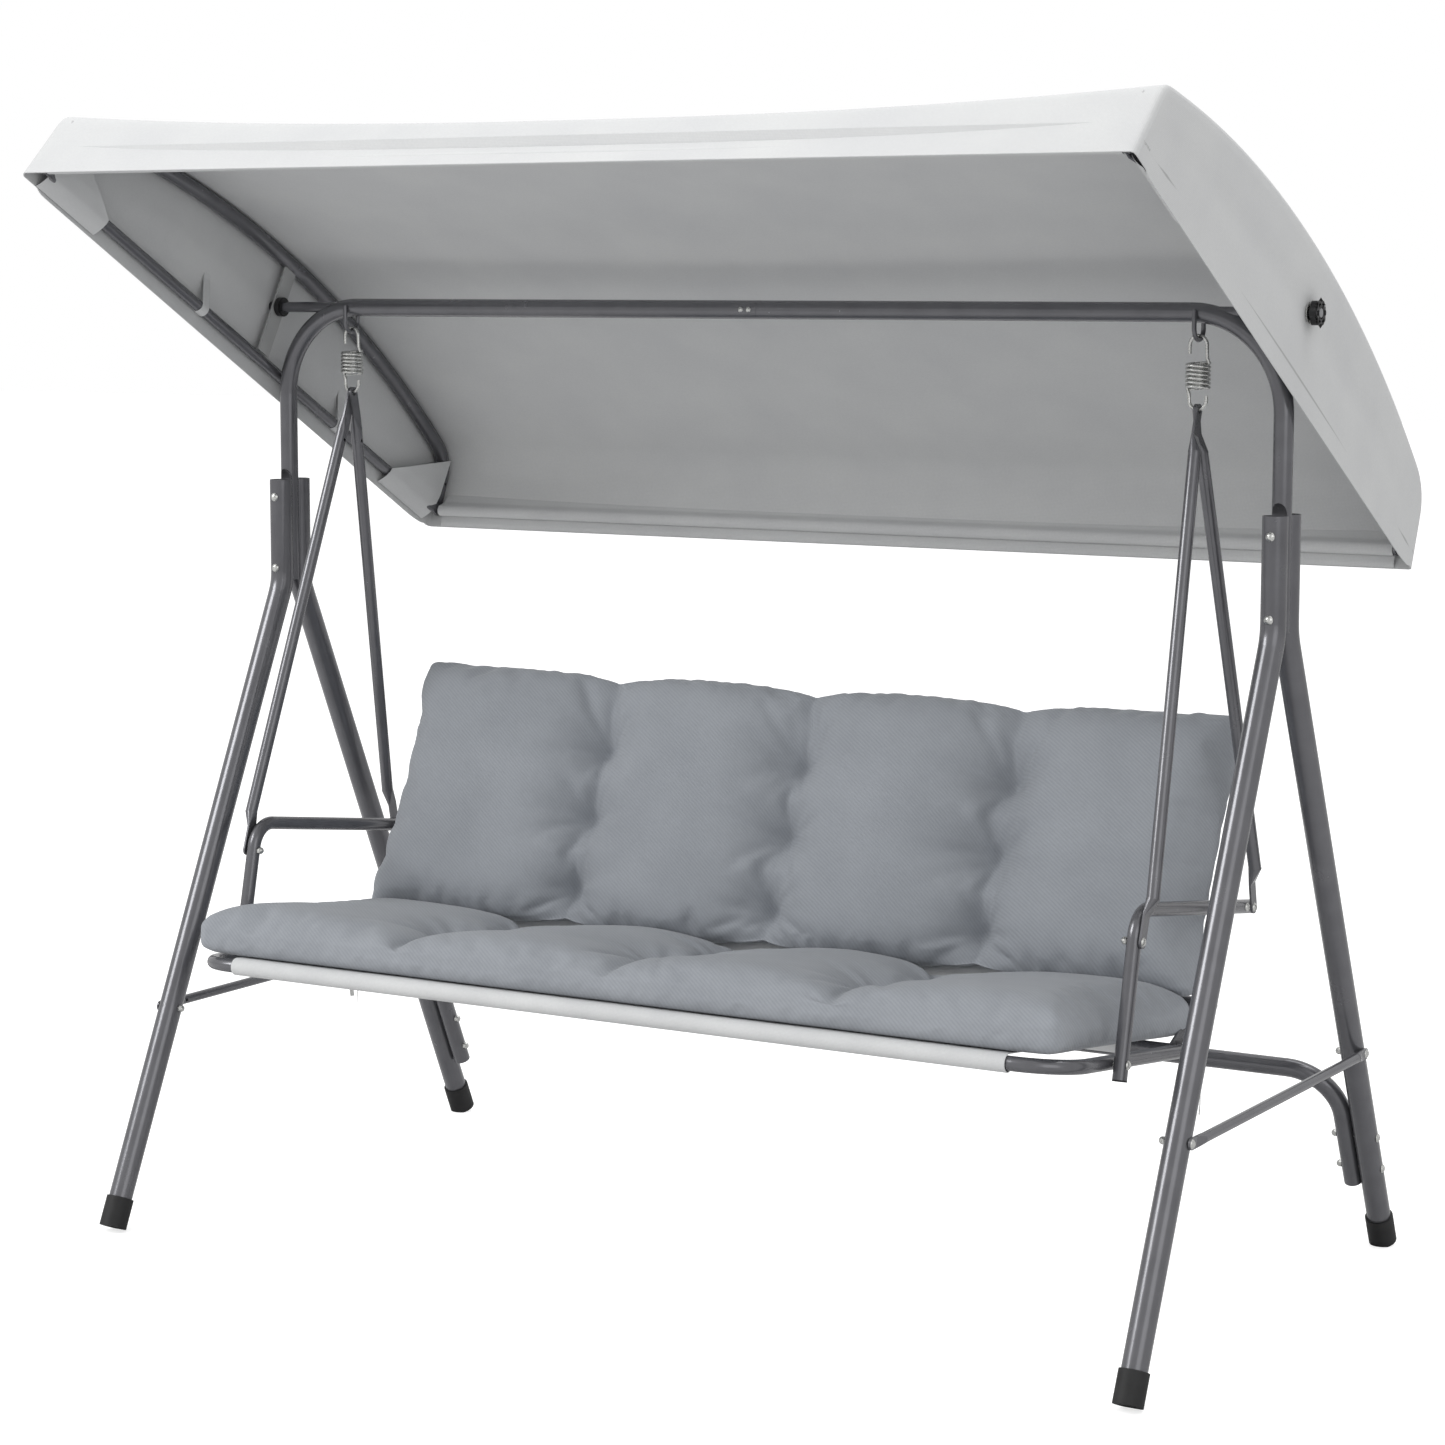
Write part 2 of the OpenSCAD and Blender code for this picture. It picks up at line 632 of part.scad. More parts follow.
module arm_bolts() {
    color(ZINC) for (side = [-1, 1], p = [front_arm_low, rear_arm_low])
        translate([side * (arm_low_x + plate / 2), p[0], p[1]]) rotate([0, -side * 90, 0])
            bolt(plate + fit + bench_d + nut_grip);
}
module armrest_bolts() {
    color(ZINC) for (side = [-1, 1], p = [upright_foot, back_bolt])
        translate([side * (armrest_x + bench_r), p[0], p[1]]) rotate([0, -side * 90, 0])
            bolt(2 * bench_d + fit + nut_grip);
}
module rail_bolts() {
    color(ZINC) for (side = [-1, 1], p = [on_seat(seat_rail_d), on_back(back_rail_s)])
        translate([side * (side_x + bench_r), p[0], p[1]]) rotate([0, -side * 90, 0])
            bolt(bench_d + plate + 2 * fit + 16);
}
module bench_nuts() {
    color(ZINC) for (side = [-1, 1]) {
        for (p = [front_arm_low, rear_arm_low])
            translate([side * (armrest_x - bench_r), p[0], p[1]]) rotate([0, -side * 90, 0]) cap_nut();
        for (p = [upright_foot, back_bolt])
            translate([side * (side_x - bench_r), p[0], p[1]]) rotate([0, -side * 90, 0]) cap_nut();
    }
}
module bench_screws() {
    color(ZINC) for (d = [12, 25]) {
        in_seat_plane() translate([-d, 0, -bench_r - 0.02]) screw(1.4);
        in_back_plane() translate([-d, 0, -bench_r - 0.02]) screw(1.4);
    }
}

// Cloth pulled round two tubes: p and q are their axes and radii, up is the side it lies on
module cloth_panel(p, rp, q, rq, up, half) {
    dir = unit(q - p);
    // up-side tangent points of the sleeves
    a = p + up * (rp + fit);
    b = q + up * (rq + fit);
    d = b - a;
    in_yz(-half) linear_extrude(2 * half) difference() {
        union() {
            translate(p) circle(rp + fit + cloth);
            translate(q) circle(rq + fit + cloth);
            translate(a) rotate(angle2(d)) translate([0, cross2(d, up) > 0 ? 0 : -cloth]) square([norm(d), cloth]);
        }
        translate(p) circle(rp + fit);
        translate(q) circle(rq + fit);
    }
}
module seat_sling() {
    color(SLING) cloth_panel(seat_origin, bench_r + 1.4, on_seat(seat_rail_d), rail_r + 1.9, seat_up, sling_half);
}
module back_sling() {
    color(SLING) cloth_panel(on_back(back_len), bench_r + 1.4, on_back(back_rail_s), rail_r + 1.9, back_fwd, sling_half);
}

pad_lift = bench_r + 1.4 + fit + cloth + fit;
module pad(len, thick) {
    translate([-pad_half, 0, 0]) rotate([90, 0, 90]) linear_extrude(2 * pad_half) union() {
        translate([pad_round, 0]) square([len - 2 * pad_round, thick]);
        translate([0, pad_round]) square([len, thick - 2 * pad_round]);
        for (x = [pad_round, len - pad_round], y = [pad_round, thick - pad_round])
            translate([x, y]) circle(pad_round);
    }
}
seat_pad_front = -10;            // cushion overhang ahead of the front tube axis
seat_pad_len = seat_depth - 14 - seat_pad_front;
module seat_cushion() {
    color(CUSHION) in_seat_plane() translate([0, seat_pad_front, pad_lift]) pad(seat_pad_len, seat_pad);
}
back_pad_start = (pad_lift + seat_pad + 1 - pad_lift * (back_fwd * seat_up)) / (back_dir * seat_up);
back_pad_len = back_len + 18 - back_pad_start;
module back_cushion() {
    color(CUSHION) translate([0, on_back(back_pad_start)[0], on_back(back_pad_start)[1]])
        rotate([90 - back_recline, 0, 0]) translate([0, 0, pad_lift]) pad(back_pad_len, back_pad);
}

tie_at = 412;                    // ribbons tied round the side tubes, along the seat
module cushion_ties() {
    p = on_seat(tie_at);
    outer = bench_r + fit + cloth;
    color(SLING) for (side = [-1, 1]) on_side(side) {
        in_seat_plane() translate([side_x, tie_at - 7, 0]) rotate([-90, 0, 0]) difference() {
            cylinder(h = 14, r = outer);
            translate([0, 0, -1]) cylinder(h = 16, r = bench_r + fit);
        }
        for (y = [-5, 6]) translate([side_x + outer - cloth, p[0] + y - 4, p[1] - 84 - 2 * y])
            cube([cloth, 8, 84 + 2 * y]);
    }
}

// ---- canopy --------------------------------------------------------------------------

arch_radius = 1835;
arch_half_angle = 15.5;
arch_c = -7;                     // the crown stands this far behind the tilt axis
front_lean = 72.7;               // slope of the front and rear faces, degrees
rear_lean = 84;
hub = [0, 0];
front_foot = [-canopy_front, -canopy_drop];
rear_foot = [canopy_rear, -canopy_drop];
// Where the line through p at angle a meets the line through q at angle b
function meet(p, a, q, b) = let (u = [cos(a), sin(a)], w = [cos(b), sin(b)])
    p + u * cross2(q - p, w) / cross2(u, w);
arch_peak = [arch_c, canopy_crown + arch_radius * (1 / cos(arch_half_angle) - 1)];
front_top = meet(front_foot, front_lean, arch_peak, arch_half_angle);
rear_top = meet(rear_foot, 180 - rear_lean, arch_peak, -arch_half_angle);
arch_path = [front_foot, front_top, arch_peak, rear_top, rear_foot];
front_bend = 36;
rear_bend = 55;

// The canopy's own plane: local X is rearwards, local Y is up, local Z is +X of the swing
module tilted() { translate([0, 0, tilt_z]) rotate([-canopy_tilt, 0, 0]) children(); }
module canopy_plane(x) { tilted() translate([x, 0, 0]) rotate([90, 0, 90]) children(); }

corner_r = 9;
corner_flat = 12;
corner_shoulder = 30;
corner_x = arch_x - 6;           // the arch's flattened ends
bar_corner_x = corner_x - plate - fit;
rail_corner_x = bar_corner_x - plate / 2 - fit;
strut_w = 28;

// One side's arch: a bowed tube with flattened feet, and the flat strut with the tilt hole
module arch(side) {
    u1 = unit(front_top - front_foot);
    u2 = unit(rear_top - rear_foot);
    a = front_foot + corner_shoulder * u1;
    b = rear_foot + corner_shoulder * u2;
    color(STEEL) on_side(side) {
        canopy_plane(arch_x) difference() {
            bent_rod([a, front_top, arch_peak, rear_top, b], [front_bend, arch_radius, rear_bend], arch_d / 2);
            bent_rod([a + 3 * u1, front_top, arch_peak, rear_top, b + 3 * u2],
                [front_bend, arch_radius, rear_bend], arch_d / 2 - wall);
            for (p = [a + 16 * u1, b + 16 * u2]) translate([p[0], p[1], -arch_d / 2 - 1]) cylinder(h = arch_d / 2, r = vent_r);
        }
        tilted() {
            foot_plate(front_foot, u1);
            foot_plate(rear_foot, u2);
            difference() {
                translate([strut_x, -strut_w / 2, -canopy_drop + side_bar_d / 2 + fit])
                    cube([plate, strut_w, canopy_drop + canopy_crown - side_bar_d / 2 - fit - 4]);
                along_x(strut_x - 1, hub, knob_stud_r + run, plate + 2);
            }
        }
    }
}
// Flattened foot of the arch, along u from the bolt, blended to the round tube
module foot_plate(p, u) {
    translate([0, p[0], p[1]]) rotate([angle2(u) - 90, 0, 0]) {
        translate([corner_x, 0, 0]) mirror([0, 0, 1]) {
            flat_end(corner_r, corner_flat, hole_r);
            crushed(corner_r, corner_flat, corner_shoulder, arch_d / 2, arch_x - corner_x);
        }
    }
}
module canopy_arch(side) { arch(side); }
module canopy_bar(side) {
    length = canopy_front + canopy_rear;
    color(STEEL) on_side(side) tilted() {
        translate([0, -canopy_front, -canopy_drop]) rotate([90, 0, 0]) bar_with_set_ends(length);
    }
}
// Straight side bar with its flattened ends set inwards to the bolt
module bar_with_set_ends(length) {
    s = corner_shoulder + 6;
    difference() {
        rod([bar_x, 0, -s], [bar_x, 0, s - length], side_bar_d / 2);
        rod([bar_x, 0, -s - 4], [bar_x, 0, s + 4 - length], side_bar_d / 2 - wall);
        translate([bar_x - side_bar_d / 2 - 1, 0, -s - 14]) rotate([0, 90, 0]) cylinder(h = side_bar_d / 2, r = vent_r);
    }
    for (end = [0, 1]) translate([0, 0, -end * length]) mirror([0, 0, end]) {
        translate([bar_corner_x, 0, 0]) flat_end(corner_r, corner_flat, hole_r);
        translate([bar_corner_x, 0, 0]) crushed(corner_r, corner_flat, s, side_bar_d / 2, bar_x - bar_corner_x);
    }
}
module canopy_rail(p) {
    color(STEEL) tilted() difference() {
        along_x(-rail_corner_x, p, rail_d / 2, 2 * rail_corner_x);
        along_x(-rail_corner_x + 26, p, rail_d / 2 - wall, 2 * rail_corner_x - 52);
        for (x = [-rail_corner_x - 1, rail_corner_x - 17]) along_x(x, p, bolt_d / 2 + run, 18);
    }
}
module canopy_front_rail() { canopy_rail(front_foot); }
module canopy_rear_rail() { canopy_rail(rear_foot); }
module canopy_bolts() {
    color(ZINC) tilted() for (side = [-1, 1], p = [front_foot, rear_foot])
        translate([side * (corner_x + plate / 2), p[0], p[1]]) rotate([0, -side * 90, 0])
            bolt(2 * plate + 2 * fit + 14);
}

// Points of a flat path moved outwards by d, with its bends rounded by arcs
function shifted(p, d) = [for (i = [0 : len(p) - 1]) let (
    m = i == 0 ? unit(p[1] - p[0]) : unit(p[i] - p[i - 1]),
    k = i == len(p) - 1 ? m : unit(p[i + 1] - p[i]),
    n1 = [-m[1], m[0]], n2 = [-k[1], k[0]]) p[i] + d * (n1 + n2) / (1 + n1 * n2)];
function rounded(p, bends, steps) = [for (i = [0 : len(p) - 1])
    each (i == 0 || i == len(p) - 1) ? [p[i]] : let (
        t = turn(p[i - 1], p[i], p[i + 1]), u = unit(p[i] - p[i - 1]),
        a = p[i] - u * tangent_len(p, bends, i), c = a - bends[i - 1] * [-u[1], u[0]])
        [for (k = [0 : steps[i - 1]]) let (q = angle2(a - c) + t * k / steps[i - 1])
            c + bends[i - 1] * [cos(q), sin(q)]]];
cover_path = lengthen(arch_path, hem_drop);
// The cover's front fold is sewn sharp; the others follow the arch tube
function cover_line(d) = rounded(shifted(cover_path, arch_d / 2 + fit + d),
    [front_bend - 20 + d, arch_radius + arch_d / 2 + fit + d, rear_bend + d], [4, 24, 6]);
module canopy_cover() {
    outer = cover_line(fabric);
    inner = cover_line(0);
    n = len(inner);
    color(COVER) difference() {
        union() {
            canopy_plane(-cover_x - eps) linear_extrude(2 * cover_x + 2 * eps)
                polygon(concat(outer, [for (i = [n - 1 : -1 : 0]) inner[i]]));
            for (x = [-cover_out, cover_x]) canopy_plane(x) linear_extrude(fabric) polygon(outer);
        }
        tilted() for (x = [-cover_out - 1, cover_x - 1]) along_x(x, hub, eyelet_hole, fabric + 2);
    }
}
eyelet_hole = 10.5;
eyelet_r = 15;
module cover_eyelets() {
    color(ZINC) for (side = [-1, 1]) on_side(side) tilted() difference() {
        union() {
            along_x(cover_out + 0.1, hub, eyelet_r, 0.9);
            along_x(cover_x - 1, hub, eyelet_hole - seat_gap, fabric + 1.5);
            along_x(cover_x - 1, hub, eyelet_hole + 1.6, 0.9);
        }
        along_x(cover_x - 2, hub, eyelet_hole - 1, fabric + 5);
    }
}
module knob(side) {
    face = cover_out + 1 + fit + 0.5;
    lobe = 6;
    color(RUBBER) on_side(side) {
        along_x(strut_x + plate + fit, [0, tilt_z], 8.5, face - strut_x - plate - fit + eps);
        along_x(face, [0, tilt_z], 11, 3);
        along_x(face + 3 - eps, [0, tilt_z], knob_d / 2 - lobe, 11);
        for (k = [0 : 5]) translate([face + 3 - eps, 0, tilt_z]) rotate([60 * k, 0, 0])
            along_x(0, [knob_d / 2 - lobe, 0], lobe, 10);
        along_x(stub_end - 20, [0, tilt_z], knob_stud_r, face - stub_end + 22);
    }
}

// The origin lies on the ground, below the middle of the swing's whole depth
module placed() { translate([0, depth_shift, 0]) children(); }

placed() front_leg(-1);  // front_leg_left
placed() front_leg(1);  // front_leg_right
placed() rear_leg(-1);  // rear_leg_left
placed() rear_leg(1);  // rear_leg_right
placed() rubber_feet();
placed() beam_left();
placed() beam_right();
placed() stretcher_left();
placed() stretcher_right();
placed() brace(-1);  // brace_left
placed() brace(1);  // brace_right
placed() leg_bolts();
placed() brace_bolts();
placed() stretcher_bolts();
placed() stand_nuts();
placed() stand_screws();
placed() coupler(-1);  // coupler_left
placed() coupler(1);  // coupler_right
placed() spring(-1);  // spring_left
placed() spring(1);  // spring_right
placed() front_arm(-1);  // front_arm_left
placed() front_arm(1);  // front_arm_right
placed() rear_arm(-1);  // rear_arm_left
placed() rear_arm(1);  // rear_arm_right
placed() armrest(-1);  // armrest_left
placed() armrest(1);  // armrest_right
placed() tube_plugs();
placed() seat_frame(-1);  // seat_frame_left
placed() seat_frame(1);  // seat_frame_right
placed() back_frame(-1);  // back_frame_left
placed() back_frame(1);  // back_frame_right
placed() seat_rear_rail();
placed() back_lower_rail();
placed() corner_bracket(-1);  // corner_bracket_left
placed() corner_bracket(1);  // corner_bracket_right
placed() arm_bolts();
placed() armrest_bolts();
placed() rail_bolts();
placed() bench_nuts();
placed() bench_screws();
placed() seat_sling();
placed() back_sling();
placed() seat_cushion();
placed() back_cushion();
placed() cushion_ties();
placed() canopy_arch(-1);  // canopy_arch_left
placed() canopy_arch(1);  // canopy_arch_right
placed() canopy_bar(-1);  // canopy_bar_left
placed() canopy_bar(1);  // canopy_bar_right
placed() canopy_front_rail();
placed() canopy_rear_rail();
placed() canopy_bolts();
placed() canopy_cover();
placed() cover_eyelets();
placed() knob(-1);  // knob_left
placed() knob(1);  // knob_right
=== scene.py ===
"""Looks of a three-seat canopy swing: powder-coated tube, plated springs, woven cushions and canopy."""
import json
import logging
import math
from dataclasses import dataclass
from enum import Enum
from typing import Callable, Optional, Sequence

import bmesh
import bpy
import numpy as np
from mathutils import Matrix, Vector

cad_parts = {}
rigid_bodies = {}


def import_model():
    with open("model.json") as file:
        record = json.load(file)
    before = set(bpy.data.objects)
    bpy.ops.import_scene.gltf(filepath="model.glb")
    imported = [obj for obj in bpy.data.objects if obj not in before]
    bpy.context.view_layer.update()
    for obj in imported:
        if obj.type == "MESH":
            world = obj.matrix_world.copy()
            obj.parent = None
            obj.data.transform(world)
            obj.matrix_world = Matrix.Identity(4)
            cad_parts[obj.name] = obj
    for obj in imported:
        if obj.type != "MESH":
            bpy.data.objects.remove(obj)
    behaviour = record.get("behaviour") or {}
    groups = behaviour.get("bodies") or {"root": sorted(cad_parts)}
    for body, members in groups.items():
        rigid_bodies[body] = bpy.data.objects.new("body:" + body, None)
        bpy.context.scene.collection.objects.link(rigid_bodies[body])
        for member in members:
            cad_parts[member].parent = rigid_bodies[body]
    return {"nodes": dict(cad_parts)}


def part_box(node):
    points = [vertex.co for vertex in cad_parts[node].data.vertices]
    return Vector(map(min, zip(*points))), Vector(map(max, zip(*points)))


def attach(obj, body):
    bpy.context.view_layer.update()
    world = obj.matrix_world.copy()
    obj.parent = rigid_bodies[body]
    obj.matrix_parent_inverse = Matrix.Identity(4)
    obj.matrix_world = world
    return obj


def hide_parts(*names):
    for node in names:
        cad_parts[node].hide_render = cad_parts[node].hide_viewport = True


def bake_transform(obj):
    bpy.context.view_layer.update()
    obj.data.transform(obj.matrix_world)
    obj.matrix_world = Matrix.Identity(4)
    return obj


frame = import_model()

logging.basicConfig(level=logging.INFO, format="%(message)s")
LOG = logging.getLogger("swing")

Point = tuple[float, float]


# ---- small helpers -------------------------------------------------------------------


class Side(Enum):
    """The two ends of the swing, by the sign of X."""

    LEFT = -1
    RIGHT = 1

    @property
    def word(self) -> str:
        """The word that node names use for this side."""
        return self.name.lower()


def linear(hex_colour: str, alpha: float = 1.0) -> tuple[float, float, float, float]:
    """Turn an sRGB hex colour into the linear values that shaders use.

    Args:
        hex_colour: six hexadecimal digits, with or without a leading hash.
        alpha: the fourth value.

    Returns:
        Linear red, green, blue and alpha.
    """
    digits = hex_colour.lstrip("#")
    parts = [int(digits[i:i + 2], 16) / 255 for i in (0, 2, 4)]
    r, g, b = [c / 12.92 if c <= 0.04045 else ((c + 0.055) / 1.055) ** 2.4 for c in parts]
    return r, g, b, alpha


def deselect() -> None:
    """Leave nothing selected and nothing active, in object mode."""
    if bpy.context.object is not None and bpy.context.object.mode != "OBJECT":
        bpy.ops.object.mode_set(mode="OBJECT")
    for obj in bpy.context.view_layer.objects:
        obj.select_set(False)
    bpy.context.view_layer.objects.active = None


def take(obj: bpy.types.Object) -> None:
    """Select one object and make it active.

    Args:
        obj: the object to select.
    """
    deselect()
    obj.select_set(True)
    bpy.context.view_layer.objects.active = obj


def newest(name: str) -> bpy.types.Object:
    """Name the object that an operator has just added.

    Args:
        name: the new name, for the mesh too.

    Returns:
        The active object.
    """
    obj = bpy.context.object
    obj.name = name
    obj.data.name = name
    return obj


def settle(obj: bpy.types.Object) -> None:
    """Move an object's place into its mesh.

    Args:
        obj: the object to settle at the origin.
    """
    take(obj)
    bpy.ops.object.transform_apply(location=True, rotation=True, scale=True)


def apply_modifier(obj: bpy.types.Object, kind: str, **settings: object) -> None:
    """Add one modifier and apply it.

    Args:
        obj: the object it goes on.
        kind: Blender's name for the modifier type.
        settings: the modifier's own settings.
    """
    modifier = obj.modifiers.new(kind.title(), kind)
    for key, value in settings.items():
        setattr(modifier, key, value)
    take(obj)
    bpy.ops.object.modifier_apply(modifier=modifier.name)


def smooth(obj: bpy.types.Object, angle: Optional[float] = None) -> None:
    """Shade an object smooth.

    Args:
        obj: the object to shade.
        angle: edges sharper than this many degrees stay sharp; None smooths all.
    """
    take(obj)
    if angle is None:
        bpy.ops.object.shade_smooth()
    else:
        bpy.ops.object.shade_smooth_by_angle(angle=math.radians(angle))


def outwards(obj: bpy.types.Object, merge: float = 1e-6) -> None:
    """Merge doubles and point a mesh's faces outwards.

    Args:
        obj: the object to tidy.
        merge: the merging distance in metres.
    """
    take(obj)
    bpy.ops.object.mode_set(mode="EDIT")
    bpy.ops.mesh.select_all(action="SELECT")
    bpy.ops.mesh.remove_doubles(threshold=merge)
    bpy.ops.mesh.normals_make_consistent(inside=False)
    bpy.ops.object.mode_set(mode="OBJECT")


def coordinates(obj: bpy.types.Object) -> np.ndarray:
    """Read a mesh's vertex places.

    Args:
        obj: the mesh object.

    Returns:
        An array of one row per vertex.
    """
    co = np.zeros(len(obj.data.vertices) * 3)
    obj.data.vertices.foreach_get("co", co)
    return co.reshape(-1, 3)


def put(obj: bpy.types.Object, co: np.ndarray) -> None:
    """Write a mesh's vertex places.

    Args:
        obj: the mesh object.
        co: one row per vertex.
    """
    obj.data.vertices.foreach_set("co", np.ascontiguousarray(co).reshape(-1))
    obj.data.update()


def give_attribute(obj: bpy.types.Object, name: str, values: np.ndarray) -> None:
    """Store one number per vertex for a material to read.

    Args:
        obj: the mesh object.
        name: the attribute's name.
        values: one number per vertex.
    """
    attribute = obj.data.attributes.get(name) or obj.data.attributes.new(name, "FLOAT", "POINT")
    attribute.data.foreach_set("value", values.astype(np.float32))


def ease(t: np.ndarray) -> np.ndarray:
    """Smooth step from 0 to 1.

    Args:
        t: where on the step, clipped to 0..1.

    Returns:
        The eased value.
    """
    t = np.clip(t, 0, 1)
    return t * t * (3 - 2 * t)


def crown(t: np.ndarray) -> np.ndarray:
    """Quarter-round from 0 to 1, steep at first.

    Args:
        t: where on the rise, clipped to 0..1.

    Returns:
        The height on the round.
    """
    return np.sqrt(np.clip(1 - (1 - np.clip(t, 0, 1)) ** 2, 0, 1))


# ---- the swing's own measures ----------------------------------------------------------


@dataclass(frozen=True)
class Plan:
    """Places shared by several pieces, in metres, the same as the solids use."""

    shift: float = 0.0455
    beam_z: float = 1.375
    hook_x: float = 0.706
    swing_z: float = 1.375 - 0.037 + 0.00325 + 0.0025 + 0.00015
    spring_len: float = 0.099
    wire_r: float = 0.0025
    coil_d: float = 0.030
    seat_origin: Point = (-0.402, 0.415)
    seat_tilt: float = 7.0
    seat_depth: float = 0.447
    back_recline: float = 25.0
    back_len: float = 0.452
    side_x: float = 0.7087
    bench_r: float = 0.010

    def on_seat(self, along: float, up: float = 0.0) -> Point:
        """Point in the YZ plane, from the seat's front tube axis.

        Args:
            along: distance rearwards along the seat.
            up: distance square to the seat.

        Returns:
            The point's Y and Z.
        """
        a = math.radians(self.seat_tilt)
        return (self.shift + self.seat_origin[0] + along * math.cos(a) + up * math.sin(a),
                self.seat_origin[1] - along * math.sin(a) + up * math.cos(a))

    def on_back(self, along: float, out: float = 0.0) -> Point:
        """Point in the YZ plane, from the heel up the back.

        Args:
            along: distance up the back.
            out: distance forwards, square to the back.

        Returns:
            The point's Y and Z.
        """
        heel = self.on_seat(self.seat_depth)
        a = math.radians(self.back_recline)
        return (heel[0] + along * math.sin(a) - out * math.cos(a),
                heel[1] + along * math.cos(a) + out * math.sin(a))

    def seat_matrix(self, up: float) -> Matrix:
        """Frame of the seat: X across, Y rearwards, Z square to the seat.

        Args:
            up: height of its origin above the tube axes.

        Returns:
            The matrix from that frame to the swing's.
        """
        y, z = self.on_seat(0, up)
        return Matrix.Translation((0, y, z)) @ Matrix.Rotation(-math.radians(self.seat_tilt), 4, "X")

    def back_matrix(self, along: float, out: float) -> Matrix:
        """Frame of the back: X across, Y up the back, Z forwards.

        Args:
            along: where its origin stands up the back.
            out: how far its origin stands ahead of the tube axes.

        Returns:
            The matrix from that frame to the swing's.
        """
        y, z = self.on_back(along, out)
        return Matrix.Translation((0, y, z)) @ Matrix.Rotation(math.radians(90 - self.back_recline), 4, "X")


PLAN = Plan()


# ---- flat paths ------------------------------------------------------------------------


class FlatPath:
    """A line of straight lengths and round bends in a plane."""

    def __init__(self, points: Sequence[Point], bends: Sequence[float], steps: Sequence[int]) -> None:
        """Keep the corner points and how each is rounded.

        Args:
            points: the corners, ends included.
            bends: a radius for each inner corner.
            steps: how many pieces each bend is drawn with.
        """
        self.points = [np.array(p, float) for p in points]
        self.bends = list(bends)
        self.steps = list(steps)

    @staticmethod
    def cross(a: np.ndarray, b: np.ndarray) -> float:
        """Signed area of two plane vectors."""
        return float(a[0] * b[1] - a[1] * b[0])

    @staticmethod
    def meet(p: Point, a: float, q: Point, b: float) -> Point:
        """Where two lines cross, each given by a point and an angle in degrees.

        Args:
            p: a point of the first line.
            a: the first line's angle.
            q: a point of the second line.
            b: the second line's angle.

        Returns:
            The crossing point.
        """
        u = np.array([math.cos(math.radians(a)), math.sin(math.radians(a))])
        w = np.array([math.cos(math.radians(b)), math.sin(math.radians(b))])
        d = np.array(q, float) - np.array(p, float)
        out = np.array(p, float) + u * (FlatPath.cross(d, w) / FlatPath.cross(u, w))
        return float(out[0]), float(out[1])

    def lengthened(self, extra: float) -> "FlatPath":
        """The path with both ends made longer by extra metres."""
        p = list(self.points)
        first, last = p[1] - p[0], p[-1] - p[-2]
        p[0] = p[0] - extra * first / np.linalg.norm(first)
        p[-1] = p[-1] + extra * last / np.linalg.norm(last)
        return FlatPath(p, self.bends, self.steps)

    def shifted(self, d: float) -> "FlatPath":
        """The path moved to its left by d metres, bends growing with it."""
        p, out = self.points, []
        for i in range(len(p)):
            before = p[1] - p[0] if i == 0 else p[i] - p[i - 1]
            after = before if i == len(p) - 1 else p[i + 1] - p[i]
            m, k = before / np.linalg.norm(before), after / np.linalg.norm(after)
            n1, n2 = np.array([-m[1], m[0]]), np.array([-k[1], k[0]])
            out.append(p[i] + d * (n1 + n2) / (1 + float(n1 @ n2)))
        return FlatPath(out, [b + d for b in self.bends], self.steps)

    def line(self) -> np.ndarray:
        """The path's points, with its bends drawn as short chords."""
        p, out = self.points, [self.points[0]]
        for i in range(1, len(p) - 1):
            u = (p[i] - p[i - 1]) / np.linalg.norm(p[i] - p[i - 1])
            v = (p[i + 1] - p[i]) / np.linalg.norm(p[i + 1] - p[i])
            turn = math.atan2(self.cross(u, v), float(u @ v))
            r = self.bends[i - 1]
            a = p[i] - u * r * math.tan(abs(turn) / 2)
            sign = 1 if turn > 0 else -1
            c = a + sign * r * np.array([-u[1], u[0]])
            start = math.atan2(*(a - c)[::-1])
            for k in range(self.steps[i - 1] + 1):
                q = start + turn * k / self.steps[i - 1]
                out.append(c + r * np.array([math.cos(q), math.sin(q)]))
        out.append(p[-1])
        return np.array(out)


def arc_lengths(line: np.ndarray) -> np.ndarray:
    """Distance along a line at each of its points.

    Args:
        line: one row per point.

    Returns:
        The running length.
    """
    return np.concatenate([[0], np.cumsum(np.linalg.norm(np.diff(line, axis=0), axis=1))])


def resample(line: np.ndarray, count: int) -> np.ndarray:
    """Points at even distances along a line.

    Args:
        line: one row per point.
        count: how many pieces to cut it into.

    Returns:
        count + 1 points.
    """
    s = arc_lengths(line)
    t = np.linspace(0, s[-1], count + 1)
    return np.stack([np.interp(t, s, line[:, k]) for k in range(line.shape[1])], axis=1)


# ---- finishes --------------------------------------------------------------------------


def add_node(tree: bpy.types.NodeTree, kind: str, inputs: Optional[dict] = None,
             **settings: object) -> bpy.types.Node:
    """Add a shader node with its settings, values and links.

    Args:
        tree: the material's node tree.
        kind: the node's type name.
        inputs: a value, or a socket to link, for each named or numbered input.
        settings: the node's own settings.

    Returns:
        The new node.
    """
    node = tree.nodes.new(kind)
    for key, value in settings.items():
        setattr(node, key, value)
    for key, value in (inputs or {}).items():
        if isinstance(value, bpy.types.NodeSocket):
            tree.links.new(value, node.inputs[key])
        else:
            node.inputs[key].default_value = value
    return node


